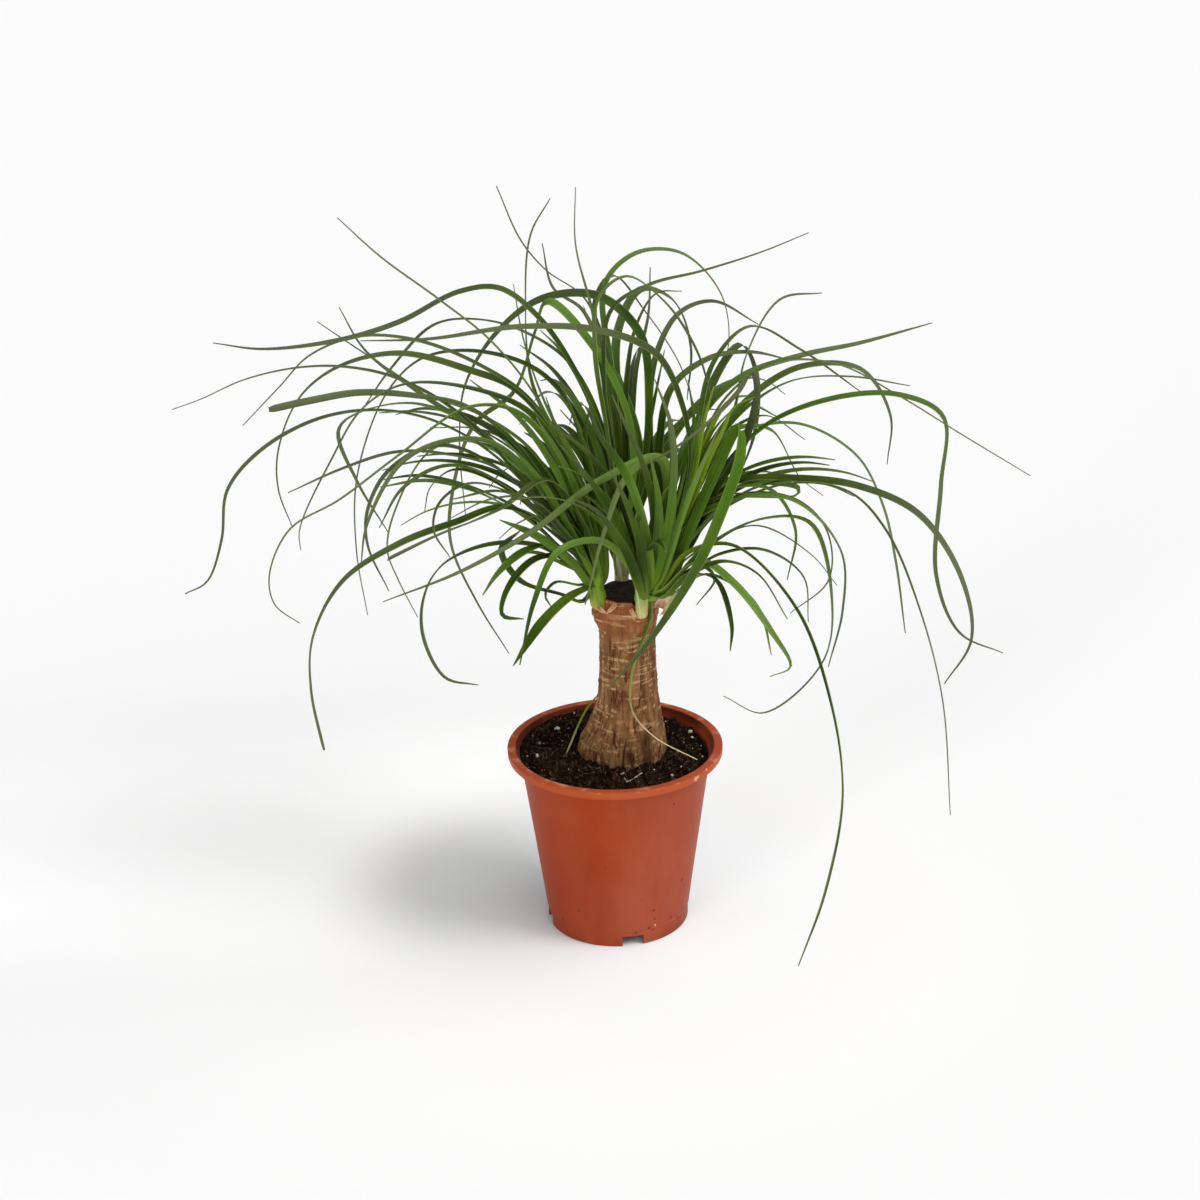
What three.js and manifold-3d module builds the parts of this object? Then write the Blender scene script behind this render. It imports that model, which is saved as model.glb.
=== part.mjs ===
// A ponytail palm in a terracotta plastic nursery pot. Millimetres, +Z up.
// The origin is the centre of the pot's foot on the surface that it stands on. +X is the photograph's
// right and +Y runs away from its viewer.
import * as THREE from 'three';
import { mergeVertices } from 'three/addons/utils/BufferGeometryUtils.js';
import Module from 'manifold-3d';

const wasm = await Module();
wasm.setup();

const GAP = 0.3;

// Pot
const POT_SIDES = 36;
const POT_HEIGHT = 106.5;
const RIM_RADIUS = 60;
const RIM_INNER_RADIUS = 55;
const RIM_DEPTH = 4.2;
const RIM_ROUNDING = 0.7;
const WALL_TOP_RADIUS = 53.4;
const WALL_THICKNESS = 1.2;
const FOOT_RADIUS = 39.7;
const FOOT_HEIGHT = 9;
const FOOT_STEP = 0.7;
const FOOT_RING_WIDTH = 2.6;
const FLOOR_HEIGHT = 7;
const FLOOR_THICKNESS = 1.4;
const NOTCH = { count: 4, first: -78.6, width: 12, height: 6 };
const DRAIN = { count: 6, radius: 4, ring: 22, sides: 8 };

// Soil
const SOIL_LEVEL = 97.5;
const SOIL_MOUND = 4.5;
const SOIL_BANK = 3.3;
const SOIL_ROUGHNESS = 1.1;

// Trunk: radius and lean of its axis by height
const TRUNK_SIDES = 32;
const TRUNK_BOTTOM = 78;
const TRUNK_TOP = 197;
const TRUNK_RINGS = 20;
const TRUNK_RADII = [
  [78, 13], [84, 21], [92, 25], [101, 25.6], [109, 24], [117, 21], [127, 18], [138, 16.3],
  [155, 15.5], [172, 15.6], [188, 16.4], [197, 16.2],
];
const TRUNK_AXIS = [[78, 4.2], [104, 4.6], [128, 7.8], [197, 8.2]];
const TRUNK_AXIS_Y = 5;
const BARK_FISSURES = 10;
const BARK_DEPTH = 0.9;
const SCAR_SPACING = 8.5;
const SCAR_DEPTH = 0.35;
const SHOULDER_RISE = 2.4;
const SHOULDER_REACH = 12;
const SHOULDER_DROP = 7;
const SEAL_THICKNESS = 1.2;
const SEAL_SIDES = 20;

// Heads of leaves: where each crown sits on the rim of the cut, and the way its own leaves spread
const SHOOT_SIDES = 9;
const SHOOT_PROFILE = [[0, -10], [4, -7], [5.4, -1], [6.4, 8], [7.4, 17], [5.8, 24], [0, 28]];
const ROOT_RISE = 10;
const ROOT_SPREAD = 4;
const HEADS = {
  left: { crown: [-6, 3, 193], colour: 0x4c8a26 },
  front: { crown: [17, -10, 191], colour: 0x5a9a2c },
  right: { crown: [26.5, 7, 192], colour: 0x4f9028 },
  back: { crown: [6, 19.5, 194], colour: 0x44802a },
};

// Leaf blades
const BLADE_KEEL = 0.16;
const BLADE_THICKNESS = 0.8;
const TIP_WIDTH = 1;
const STATION_LENGTH = 40;
const STATION_TURN = 36;
const SAMPLE_LENGTH = 4;
const SWING_STEP = 6;
const SWINGS = 17;
const CROWN_REACH = 40;
const OTHER_HEAD_WEIGHT = 50;

// The photograph's view: focal length in pixels, camera place, pitch and roll
const PHOTO = { focal: 2800, middle: 600, x: -6.4, y: -1402, z: 796.5, pitch: 23.25, roll: 1.32 };

// Leaves read from the photograph, each from its tip inwards: head, depth of the tip along Y, width, and
// the pixels that its midrib passes through
const PHOTO_LEAVES = [
  ["front", -29, 4.5, [697,760, 655,738, 632,712, 630,680, 636,655, 650,615]],
  ["front", -176, 8, [798,966, 825,890, 842,790, 828,695, 795,608, 735,547, 690,553, 660,590]],
  ["right", 30, 7, [1030,476, 960,434, 900,397, 835,364, 775,364, 725,400, 690,480]],
  ["left", 0, 5.5, [172,410, 200,400, 245,380, 300,368, 350,368, 402,381, 470,424]],
  ["left", 38, 5.5, [337,218, 380,257, 440,301, 490,341, 534,395, 570,470]],
  ["left", -20, 6, [243,426, 280,387, 310,356, 360,337, 420,342, 485,369, 530,401, 572,470]],
  ["left", -70, 6, [269,410, 310,401, 360,393, 420,397, 466,407, 520,450]],
  ["left", 40, 5.5, [293,528, 279,490, 279,450, 300,398, 340,367, 400,354, 470,371, 515,390, 560,450]],
  ["left", 60, 4.5, [317,322, 360,351, 420,390, 458,412, 520,470]],
  ["left", 84, 4, [339,307, 365,350, 420,393, 500,450]],
  ["left", -30, 6, [185,594, 207,582, 222,540, 228,490, 262,450, 320,419, 380,411, 440,424, 510,470]],
  ["left", -88, 6.5, [301,550, 300,530, 332,460, 362,410, 400,386, 460,387, 530,414, 575,490]],
  ["left", 72, 6, [368,615, 357,550, 358,475, 388,392, 425,358, 485,353, 545,377, 590,450]],
  ["left", -56, 6.5, [288,493, 345,468, 395,453, 440,454, 497,469, 550,520]],
  ["left", -98, 8, [300,623, 275,604, 270,575, 290,530, 340,500, 400,455, 465,409, 510,410, 545,440, 580,520]],
  ["left", -76, 8, [325,750, 312,690, 313,640, 343,582, 400,544, 455,523, 505,508, 560,540]],
  ["left", -112, 8.5, [388,560, 440,535, 500,510, 545,480, 585,530]],
  ["left", 24, 5, [418,617, 398,578, 388,550, 396,510, 430,452, 470,442, 530,480]],
  ["left", 52, 4.5, [388,532, 358,483, 339,430, 362,412, 420,405, 490,440]],
  ["left", -44, 5, [389,591, 368,545, 368,510, 390,470, 440,446, 505,475]],
  ["left", -66, 8, [361,565, 367,525, 400,465, 440,443, 490,443, 550,500]],
  ["left", -14, 5, [379,528, 403,488, 450,466, 510,490]],
  ["left", 12, 8, [380,480, 420,476, 480,491, 520,512, 565,555]],
  ["left", -50, 8, [380,487, 430,481, 500,503, 560,548]],
  ["left", 14, 5, [425,511, 431,487, 455,470, 500,484, 555,530]],
  ["left", -28, 5, [450,557, 434,530, 440,503, 470,484, 530,505]],
  ["left", -102, 6, [478,685, 445,677, 424,637, 424,600, 440,568, 485,546, 540,547, 575,570]],
  ["left", -58, 6, [524,619, 503,615, 508,590, 535,560, 570,560]],
  ["left", -36, 5, [507,564, 530,553, 565,566]],
  ["left", -46, 6, [521,530, 501,550, 520,582, 560,595, 585,602]],
  ["left", -78, 7, [513,666, 540,625, 570,597, 590,588]],
  ["left", -24, 5, [552,607, 546,595, 556,583, 580,586]],
  ["left", 30, 7, [438,400, 480,415, 530,450, 570,515]],
  ["left", 66, 7, [430,428, 480,430, 530,455, 578,520]],
  ["left", -90, 7.5, [448,520, 490,500, 530,500, 575,545]],
  ["left", -34, 7.5, [450,500, 500,492, 545,515, 582,560]],
  ["left", 46, 7, [470,380, 520,420, 560,480, 592,560]],
  ["back", 60, 7, [213,343, 262,349, 340,340, 400,322, 460,292, 500,289, 540,320, 575,372, 605,440]],
  ["back", 130, 5, [362,410, 390,370, 435,325, 480,320, 525,333, 570,365, 605,440]],
  ["back", 96, 7, [466,517, 460,440, 466,385, 500,330, 545,298, 600,297, 640,335, 648,400, 640,480]],
  ["back", 40, 6.5, [509,653, 478,603, 452,545, 452,500, 475,425, 515,392, 535,335, 548,302, 590,343, 625,410, 632,480]],
  ["back", 90, 4.5, [496,186, 520,240, 545,270, 585,300, 612,380]],
  ["back", 74, 4.5, [550,198, 530,235, 525,310, 532,385, 575,470]],
  ["back", 56, 4.5, [575,187, 575,245, 590,305, 608,380, 620,470]],
  ["back", 118, 4.5, [542,243, 553,288, 583,311, 605,370, 618,460]],
  ["back", 84, 4.5, [513,284, 523,340, 545,405, 590,490]],
  ["back", 70, 8.5, [583,306, 600,348, 625,395, 640,460]],
  ["back", 146, 4.5, [713,385, 728,345, 720,293, 680,253, 635,254, 605,285, 612,370, 622,460]],
  ["back", 104, 5, [809,233, 760,253, 700,272, 650,285, 612,310, 605,380, 618,470]],
  ["back", 64, 8, [712,400, 697,352, 665,303, 627,277, 600,297, 596,350, 608,430]],
  ["back", 136, 4.5, [697,415, 678,362, 645,312, 612,276, 596,300, 606,390]],
  ["back", 124, 6, [687,400, 690,345, 672,300, 640,290, 618,330, 618,420]],
  ["back", 110, 4, [650,267, 648,315, 636,370, 630,460]],
  ["back", 92, 4.5, [682,291, 656,293, 636,325, 626,385, 626,470]],
  ["back", 78, 7.5, [540,330, 560,350, 590,400, 612,470]],
  ["back", 100, 7.5, [520,345, 555,372, 590,430, 612,500]],
  ["back", 112, 8, [600,330, 620,380, 632,440, 632,510]],
  ["back", 82, 8, [665,350, 655,400, 645,450, 634,520]],
  ["back", 126, 7, [560,410, 585,440, 605,490, 616,540]],
  ["right", 128, 5, [758,324, 712,301, 678,314, 655,360, 650,440]],
  ["right", 70, 7, [862,393, 800,350, 750,327, 715,362, 698,430, 682,510]],
  ["right", 96, 6, [822,293, 780,300, 747,355, 735,410, 705,470, 682,540]],
  ["right", 84, 6, [790,360, 750,352, 710,358, 672,388, 660,450, 664,530]],
  ["right", 60, 5.5, [932,323, 860,343, 800,356, 740,378, 700,420, 680,500]],
  ["right", 104, 5, [887,464, 890,415, 860,369, 805,366, 762,388, 715,440, 686,510]],
  ["right", -8, 7, [1003,653, 960,633, 936,575, 940,485, 942,417, 900,396, 840,398, 770,424, 715,480, 684,540]],
  ["right", 50, 4, [910,386, 850,377, 790,382, 735,420, 694,490]],
  ["right", 116, 6, [740,475, 755,430, 755,370, 740,345, 712,385, 690,460]],
  ["right", 24, 4.5, [823,496, 800,478, 770,430, 735,430, 700,480]],
  ["right", 44, 5, [805,440, 765,416, 730,432, 696,490]],
  ["right", 40, 7, [905,633, 895,560, 882,505, 855,455, 795,424, 735,438, 695,500]],
  ["right", -56, 7.5, [950,815, 942,700, 920,612, 885,530, 848,492, 790,484, 720,512, 684,555]],
  ["right", -26, 6.5, [944,684, 971,640, 960,575, 918,514, 860,487, 800,479, 740,482, 695,520]],
  ["right", 14, 8, [745,497, 797,494, 798,488, 770,482, 720,484, 690,520]],
  ["right", -70, 7, [828,667, 842,610, 840,550, 795,502, 735,500, 692,540]],
  ["right", 6, 5, [790,613, 828,580, 826,530, 795,500, 740,496, 695,530]],
  ["right", -40, 4.5, [837,586, 810,554, 756,526, 700,550]],
  ["right", -18, 5, [787,580, 795,530, 770,490, 725,492, 690,535]],
  ["right", 90, 7, [780,418, 745,405, 715,430, 692,490]],
  ["right", 76, 7.5, [755,395, 730,400, 705,440, 684,510]],
  ["front", -120, 9, [609,688, 650,640, 695,570, 720,515, 740,455, 738,428, 716,470, 690,530, 664,590]],
  ["front", -92, 7, [724,696, 765,712, 823,660, 831,600, 810,524, 760,520, 705,550, 668,588]],
  ["front", -76, 5, [808,622, 803,577, 765,551, 720,555, 680,580]],
  ["front", -100, 6, [787,619, 758,575, 725,562, 690,575, 664,598]],
  ["front", -112, 8, [770,677, 791,667, 772,632, 735,585, 700,562, 665,590]],
  ["front", -66, 5, [771,655, 760,613, 740,590, 705,575, 672,595]],
  ["front", -86, 6, [730,651, 731,625, 715,580, 690,575, 664,598]],
  ["front", -60, 6, [696,605, 714,578, 698,566, 668,592]],
  ["front", -72, 7.5, [383,602, 460,572, 530,533, 600,481, 660,458, 672,500, 656,580]],
  ["front", -110, 8, [520,665, 535,600, 558,552, 600,541, 632,570, 643,600]],
  ["front", -84, 8.5, [585,605, 603,535, 628,475, 658,458, 668,505, 652,590]],
  ["front", -64, 8.5, [650,455, 658,500, 657,550, 650,600]],
  ["front", -96, 8.5, [610,470, 625,500, 640,545, 645,600]],
  ["front", -52, 8, [360,341, 430,339, 520,327, 600,331, 655,354, 681,405, 688,460, 668,540, 650,595]],
  ["front", -80, 8, [718,430, 700,470, 680,520, 660,580]],
  ["front", -48, 8, [700,415, 690,465, 675,520, 658,580]],
  ["front", -88, 8, [560,445, 590,480, 620,530, 640,590]],
  ["front", -56, 8, [545,420, 590,455, 625,510, 642,580]],
  ["front", -104, 7.5, [575,500, 595,510, 625,550, 643,600]],
  ["front", -70, 8, [655,380, 672,430, 672,500, 655,580]],
];

// Leaves that the photograph hides, by head: how many, their spread round the crown in degrees, how
// steeply they rise, how far their tips hang below the level, and their length
const HIDDEN_LEAVES = {
  left: { count: 9, from: 112, to: 246, rise: [86, 64], hang: [0, 45], length: [105, 185] },
  front: { count: 7, from: 214, to: 326, rise: [86, 70], hang: [-40, 5], length: [80, 140] },
  right: { count: 8, from: -20, to: 84, rise: [86, 68], hang: [-10, 40], length: [90, 150] },
  back: { count: 13, from: 48, to: 136, rise: [86, 52], hang: [20, 74], length: [130, 208] },
};
const HIDDEN_WIDTH = 5.5;
const GOLDEN_TURN = 0.618034;

const radians = THREE.MathUtils.degToRad;
const mix = THREE.MathUtils.lerp;

// The value at x of a curve through [x, value] pairs, straight between them
function along(pairs, x) {
  let i = 1;
  while (i < pairs.length - 1 && x > pairs[i][0]) {
    i += 1;
  }
  const t = THREE.MathUtils.clamp((x - pairs[i - 1][0]) / (pairs[i][0] - pairs[i - 1][0]), 0, 1);
  return mix(pairs[i - 1][1], pairs[i][1], t);
}

function smooth(from, to, x) {
  return THREE.MathUtils.smoothstep(x, from, to);
}

// Closed geometry to solid and back
function solidOf(geometry) {
  const bare = geometry.clone();
  for (const name of Object.keys(bare.attributes)) {
    if (name !== 'position') {
      bare.deleteAttribute(name);
    }
  }
  const merged = mergeVertices(bare, 1e-3);
  return new wasm.Manifold(new wasm.Mesh({
    numProp: 3,
    vertProperties: new Float32Array(merged.attributes.position.array),
    triVerts: new Uint32Array(merged.index.array),
  }));
}

function geometryOf(solid) {
  const mesh = solid.getMesh();
  const geometry = new THREE.BufferGeometry();
  geometry.setAttribute('position', new THREE.BufferAttribute(new Float32Array(mesh.vertProperties), 3));
  geometry.setIndex(new THREE.BufferAttribute(new Uint32Array(mesh.triVerts), 1));
  geometry.computeVertexNormals();
  return geometry;
}

// The largest body of a solid, without scraps or sealed hollows
function mainBody(solid) {
  let largest = null;
  for (const body of solid.decompose()) {
    if (!largest || body.volume() > largest.volume()) {
      largest = body;
    }
  }
  return largest;
}

// A profile of [radius, height] points turned round the Z axis
function turned(profile, sides) {
  const points = profile.map(([radius, height]) => new THREE.Vector2(radius, height));
  const geometry = new THREE.LatheGeometry(points, sides);
  geometry.rotateX(Math.PI / 2);
  return geometry;
}

// Radius of the pot's outer wall at a height above the foot
function wallRadius(height) {
  const t = (height - FOOT_HEIGHT) / (POT_HEIGHT - RIM_DEPTH - FOOT_HEIGHT);
  return mix(FOOT_RADIUS + FOOT_STEP, WALL_TOP_RADIUS, t);
}

function potSolid() {
  const skirt = POT_HEIGHT - RIM_DEPTH;
  const floorTop = FLOOR_HEIGHT + FLOOR_THICKNESS;
  const profile = [
    [0, FLOOR_HEIGHT],
    [FOOT_RADIUS - FOOT_RING_WIDTH - 0.6, FLOOR_HEIGHT],
    [FOOT_RADIUS - FOOT_RING_WIDTH, 0],
    [FOOT_RADIUS - 0.4, 0],
    [FOOT_RADIUS, 0.5],
    [FOOT_RADIUS + 0.1, FOOT_HEIGHT - FOOT_STEP],
    [wallRadius(FOOT_HEIGHT), FOOT_HEIGHT],
    [wallRadius(skirt), skirt],
    [RIM_RADIUS - 0.4, skirt],
    [RIM_RADIUS, skirt + RIM_ROUNDING],
    [RIM_RADIUS, POT_HEIGHT - RIM_ROUNDING],
    [RIM_RADIUS - RIM_ROUNDING, POT_HEIGHT],
    [RIM_INNER_RADIUS + RIM_ROUNDING, POT_HEIGHT],
    [RIM_INNER_RADIUS, POT_HEIGHT - RIM_ROUNDING],
    [wallRadius(skirt) - WALL_THICKNESS, skirt - 1.5],
    [wallRadius(floorTop) - WALL_THICKNESS - 1, floorTop],
    [0, floorTop],
  ];
  let solid = solidOf(turned(profile, POT_SIDES));
  for (let i = 0; i < NOTCH.count; i += 1) {
    const notch = new THREE.BoxGeometry(16, NOTCH.width, 2 * NOTCH.height);
    notch.translate(FOOT_RADIUS, 0, 0);
    notch.rotateZ(radians(NOTCH.first + (360 * i) / NOTCH.count));
    solid = solid.subtract(solidOf(notch));
  }
  for (let i = 0; i < DRAIN.count; i += 1) {
    const hole = new THREE.CylinderGeometry(DRAIN.radius, DRAIN.radius, 4 * FLOOR_THICKNESS, DRAIN.sides);
    hole.rotateX(Math.PI / 2);
    hole.translate(DRAIN.ring, 0, FLOOR_HEIGHT + FLOOR_THICKNESS / 2);
    hole.rotateZ(radians((360 * i) / DRAIN.count));
    solid = solid.subtract(solidOf(hole));
  }
  return solid;
}

// How far the soil is banked up towards the pot's wall: most at the back left, least in front
function soilBank(x, y) {
  const reach = Math.hypot(x, y) + 1e-6;
  return smooth(24, 50, reach) * (SOIL_BANK + (2.2 * y - 1.3 * x) / reach);
}

// Height of the soil's top: mounded to the trunk, banked to the wall, uneven by a sum of waves
function soilHeight(x, y) {
  const fromTrunk = Math.hypot(x - along(TRUNK_AXIS, SOIL_LEVEL), y - TRUNK_AXIS_Y);
  const mound = SOIL_MOUND * (1 - smooth(24, 50, fromTrunk));
  const waves = Math.sin(x * 0.31 + 1) * Math.cos(y * 0.27) + 0.6 * Math.sin(x * 0.61 - y * 0.53 + 2);
  return SOIL_LEVEL + mound + soilBank(x, y) + SOIL_ROUGHNESS * waves;
}

function soilSolid() {
  const bottom = FLOOR_HEIGHT + FLOOR_THICKNESS + GAP;
  const inner = (height) => wallRadius(height) - WALL_THICKNESS - GAP - 0.15;
  const profile = [[0, bottom], [inner(bottom) - 1, bottom], [inner(SOIL_LEVEL), SOIL_LEVEL]];
  for (const radius of [49, 43, 36, 29, 0]) {
    profile.push([radius, SOIL_LEVEL]);
  }
  const geometry = turned(profile, POT_SIDES);
  const position = geometry.attributes.position;
  for (let i = 0; i < position.count; i += 1) {
    const x = position.getX(i);
    const y = position.getY(i);
    if (position.getZ(i) > SOIL_LEVEL - 1) {
      const edge = smooth(inner(SOIL_LEVEL) - 2, inner(SOIL_LEVEL) + 0.5, Math.hypot(x, y));
      position.setZ(i, mix(soilHeight(x, y), SOIL_LEVEL + soilBank(x, y), edge));
    }
  }
  return solidOf(geometry).subtract(solidOf(trunkGeometry(GAP + 0.1, 0)));
}

// The trunk's skin: fissures run up it between corky ridges, and rings of leaf scars run round it.
// The relief fades out below the soil, where the trunk stands in a plain hole.
function barkRelief(angle, height) {
  const wander = 0.5 * Math.sin(height * 0.09) + 0.35 * Math.sin(height * 0.21 + angle * 2);
  const ridge = Math.abs(Math.sin((angle * BARK_FISSURES) / 2 + wander));
  const scar = Math.abs(Math.sin((Math.PI * height) / SCAR_SPACING + 0.6 * Math.sin(angle * 3)));
  const lump = 0.6 * Math.sin(angle * 3 + height * 0.05) + 0.4 * Math.sin(angle * 2 - height * 0.08);
  const fade = smooth(SOIL_LEVEL + 2, SOIL_LEVEL + 12, height);
  return fade * (BARK_DEPTH * (ridge - 0.8) - SCAR_DEPTH * scar + 0.5 * lump);
}

// The bark swells into a low shoulder under each crown.
function crownSwell(angle, height) {
  let swell = 0;
  for (const { crown } of Object.values(HEADS)) {
    const turn = Math.atan2(crown[1] - TRUNK_AXIS_Y, crown[0] - along(TRUNK_AXIS, TRUNK_TOP));
    const around = 2 * Math.asin(Math.sin((angle - turn) / 2)) * along(TRUNK_RADII, height);
    const off = Math.hypot(around, height - crown[2] + SHOULDER_DROP);
    swell += SHOULDER_RISE * (1 - smooth(2, SHOULDER_REACH, off));
  }
  return swell;
}

function trunkGeometry(grown, relief) {
  const profile = [[0, TRUNK_BOTTOM - grown]];
  for (let i = 0; i <= TRUNK_RINGS; i += 1) {
    const height = mix(TRUNK_BOTTOM, TRUNK_TOP, i / TRUNK_RINGS);
    profile.push([along(TRUNK_RADII, height) + grown, height - (i === 0 ? grown : 0)]);
  }
  profile.push([0, TRUNK_TOP]);
  const geometry = turned(profile, TRUNK_SIDES);
  const position = geometry.attributes.position;
  for (let i = 0; i < position.count; i += 1) {
    const height = position.getZ(i);
    const radius = Math.hypot(position.getX(i), position.getY(i));
    const angle = Math.atan2(position.getY(i), position.getX(i));
    const skin = radius > 0.1 ? radius + relief * (barkRelief(angle, height) + crownSwell(angle, height)) : 0;
    position.setX(i, along(TRUNK_AXIS, height) + skin * Math.cos(angle));
    position.setY(i, TRUNK_AXIS_Y + skin * Math.sin(angle));
  }
  return geometry;
}

// The shoot at a crown: the sheaths of its leaves round one another, widening to where the leaves part.
// Grown by the gap it is the socket that the shoot stands in.
function shootGeometry(head, grown) {
  const last = SHOOT_PROFILE.length - 1;
  const profile = SHOOT_PROFILE.map(([radius, height], i) => {
    const lift = i === 0 ? -grown : grown;
    return i === 0 || i === last ? [0, height + lift] : [radius + grown, height];
  });
  const geometry = turned(profile, SHOOT_SIDES);
  geometry.translate(...HEADS[head].crown);
  return geometry;
}

function withSockets(solid) {
  let cut = solid;
  for (const head of Object.keys(HEADS)) {
    cut = cut.subtract(solidOf(shootGeometry(head, GAP + 0.1)));
  }
  return cut;
}

function trunkSolid() {
  return mainBody(withSockets(solidOf(trunkGeometry(0, 1))));
}

// The dark seal over the cut, a thin cap that lies on it inside its edge
function sealSolid() {
  const radius = along(TRUNK_RADII, TRUNK_TOP) - 2.2;
  const bottom = TRUNK_TOP + GAP;
  const profile = [[0, bottom], [radius, bottom], [radius, bottom + 0.6], [radius - 0.8, bottom + SEAL_THICKNESS]];
  profile.push([0, bottom + SEAL_THICKNESS]);
  const geometry = turned(profile, SEAL_SIDES);
  geometry.translate(along(TRUNK_AXIS, TRUNK_TOP), TRUNK_AXIS_Y, 0);
  return mainBody(withSockets(solidOf(geometry)));
}

// The point at a depth along Y that the photograph shows at a pixel
function fromPhoto(px, py, depth) {
  const across = (px - PHOTO.middle) / PHOTO.focal;
  const down = (py - PHOTO.middle) / PHOTO.focal;
  const roll = radians(PHOTO.roll);
  const u = across * Math.cos(roll) - down * Math.sin(roll);
  const v = across * Math.sin(roll) + down * Math.cos(roll);
  const pitch = radians(PHOTO.pitch);
  const reach = (depth - PHOTO.y) / (Math.cos(pitch) - v * Math.sin(pitch));
  const drop = reach * (Math.sin(pitch) + v * Math.cos(pitch));
  return new THREE.Vector3(PHOTO.x + reach * u, depth, PHOTO.z - drop);
}

// Where a leaf that leaves its head towards a heading is rooted in the shoot
function rootOf(head, headingX, headingY) {
  const [x, y, z] = HEADS[head].crown;
  const size = Math.hypot(headingX, headingY) + 1e-6;
  const spread = ROOT_SPREAD / size;
  return new THREE.Vector3(x + headingX * spread, y + headingY * spread, z + ROOT_RISE);
}

// The midrib of a leaf that the photograph shows: its depth runs evenly from the crown to the tip
function photoMidrib(head, tipDepth, pixels) {
  const steps = [];
  for (let i = pixels.length - 2; i >= 0; i -= 2) {
    steps.push([pixels[i], pixels[i + 1]]);
  }
  const rootDepth = HEADS[head].crown[1];
  const crown = new THREE.Vector3(...HEADS[head].crown);
  const first = fromPhoto(steps[0][0], steps[0][1], rootDepth);
  const lengths = [first.distanceTo(crown)];
  for (let i = 1; i < steps.length; i += 1) {
    const span = Math.hypot(steps[i][0] - steps[i - 1][0], steps[i][1] - steps[i - 1][1]);
    lengths.push(lengths[i - 1] + span * 0.55);
  }
  const whole = lengths[lengths.length - 1];
  const points = steps.map(([px, py], i) => {
    return fromPhoto(px, py, mix(rootDepth, tipDepth, lengths[i] / whole));
  });
  const tip = points[points.length - 1];
  return [rootOf(head, tip.x - crown.x, tip.y - crown.y), ...points];
}

// The midrib of a hidden leaf: it rises from the crown, arches over and hangs
function archMidrib(head, azimuth, rise, hang, length) {
  const count = 9;
  const heading = radians(azimuth);
  const point = rootOf(head, Math.cos(heading), Math.sin(heading));
  const points = [point.clone()];
  for (let i = 0; i < count; i += 1) {
    const lift = radians(mix(rise, -hang, Math.pow((i + 0.5) / count, 1.15)));
    point.x += (Math.cos(lift) * Math.cos(heading) * length) / count;
    point.y += (Math.cos(lift) * Math.sin(heading) * length) / count;
    point.z += (Math.sin(lift) * length) / count;
    points.push(point.clone());
  }
  return points;
}

// Points every few millimetres along a smooth curve through the midrib's points
function samplesOf(points, spacing) {
  const curve = new THREE.CatmullRomCurve3(points, false, 'centripetal');
  const length = curve.getLength();
  return curve.getSpacedPoints(Math.max(4, Math.round(length / spacing)));
}

// Half the width of a leaf at a fraction of its length: slim at the root, a thread at the tip
function halfWidth(width, t) {
  const base = 0.62 + 0.38 * smooth(0, 0.2, t);
  const taper = Math.pow(Math.max(0, (t - 0.3) / 0.7), 1.4);
  return mix((width / 2) * base, TIP_WIDTH / 2, taper);
}

// How far two leaves are from touching: the least room between their samples, less what both need.
// Leaves of one head may touch near their crown.
function roomBetween(leaf, other) {
  let least = Infinity;
  const sameHead = leaf.head === other.head;
  const need = sameHead ? 0.5 : 0.8;
  const margin = sameHead ? 1.2 : 1.4;
  const start = sameHead ? Math.round(CROWN_REACH / SAMPLE_LENGTH) : 0;
  for (let i = start; i < leaf.samples.length; i += 1) {
    const t = i / (leaf.samples.length - 1);
    const own = halfWidth(leaf.width, t);
    const point = leaf.samples[i];
    for (let j = 0; j < other.samples.length; j += 1) {
      const room = point.distanceTo(other.samples[j]);
      if (room < least + 8) {
        const u = j / (other.samples.length - 1);
        least = Math.min(least, room - need * (own + halfWidth(other.width, u)) - margin);
      }
    }
  }
  return least;
}

// Places leaves one after another. Each swings a little further to and fro until it is clear of those
// that stand already, and otherwise it takes the place with the most room.
function placeLeaf(leaves, head, width, midribAt) {
  let best = null;
  for (let i = 0; i < SWINGS; i += 1) {
    const swing = SWING_STEP * Math.ceil(i / 2) * (i % 2 ? 1 : -1);
    const points = midribAt(swing);
    const leaf = { head, width, points, samples: samplesOf(points, SAMPLE_LENGTH) };
    leaf.room = 0;
    for (const other of leaves) {
      const lack = Math.min(0, roomBetween(leaf, other));
      leaf.room += other.head === head ? lack : lack * OTHER_HEAD_WEIGHT;
    }
    if (!best || leaf.room > best.room) {
      best = leaf;
    }
    if (best.room === 0) {
      break;
    }
  }
  leaves.push(best);
}

function allLeaves() {
  const leaves = [];
  for (const [head, tipDepth, width, pixels] of PHOTO_LEAVES) {
    placeLeaf(leaves, head, width, (swing) => photoMidrib(head, tipDepth + swing, pixels));
  }
  for (const [head, spec] of Object.entries(HIDDEN_LEAVES)) {
    for (let i = 0; i < spec.count; i += 1) {
      const azimuth = mix(spec.from, spec.to, (i * GOLDEN_TURN) % 1);
      const age = (i + 0.5) / spec.count;
      const rise = mix(spec.rise[0], spec.rise[1], age);
      const hang = mix(spec.hang[0], spec.hang[1], age);
      const length = mix(spec.length[0], spec.length[1], (i * 0.382) % 1);
      placeLeaf(leaves, head, HIDDEN_WIDTH, (swing) => archMidrib(head, azimuth + swing / 2, rise, hang, length));
    }
  }
  return leaves;
}

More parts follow.
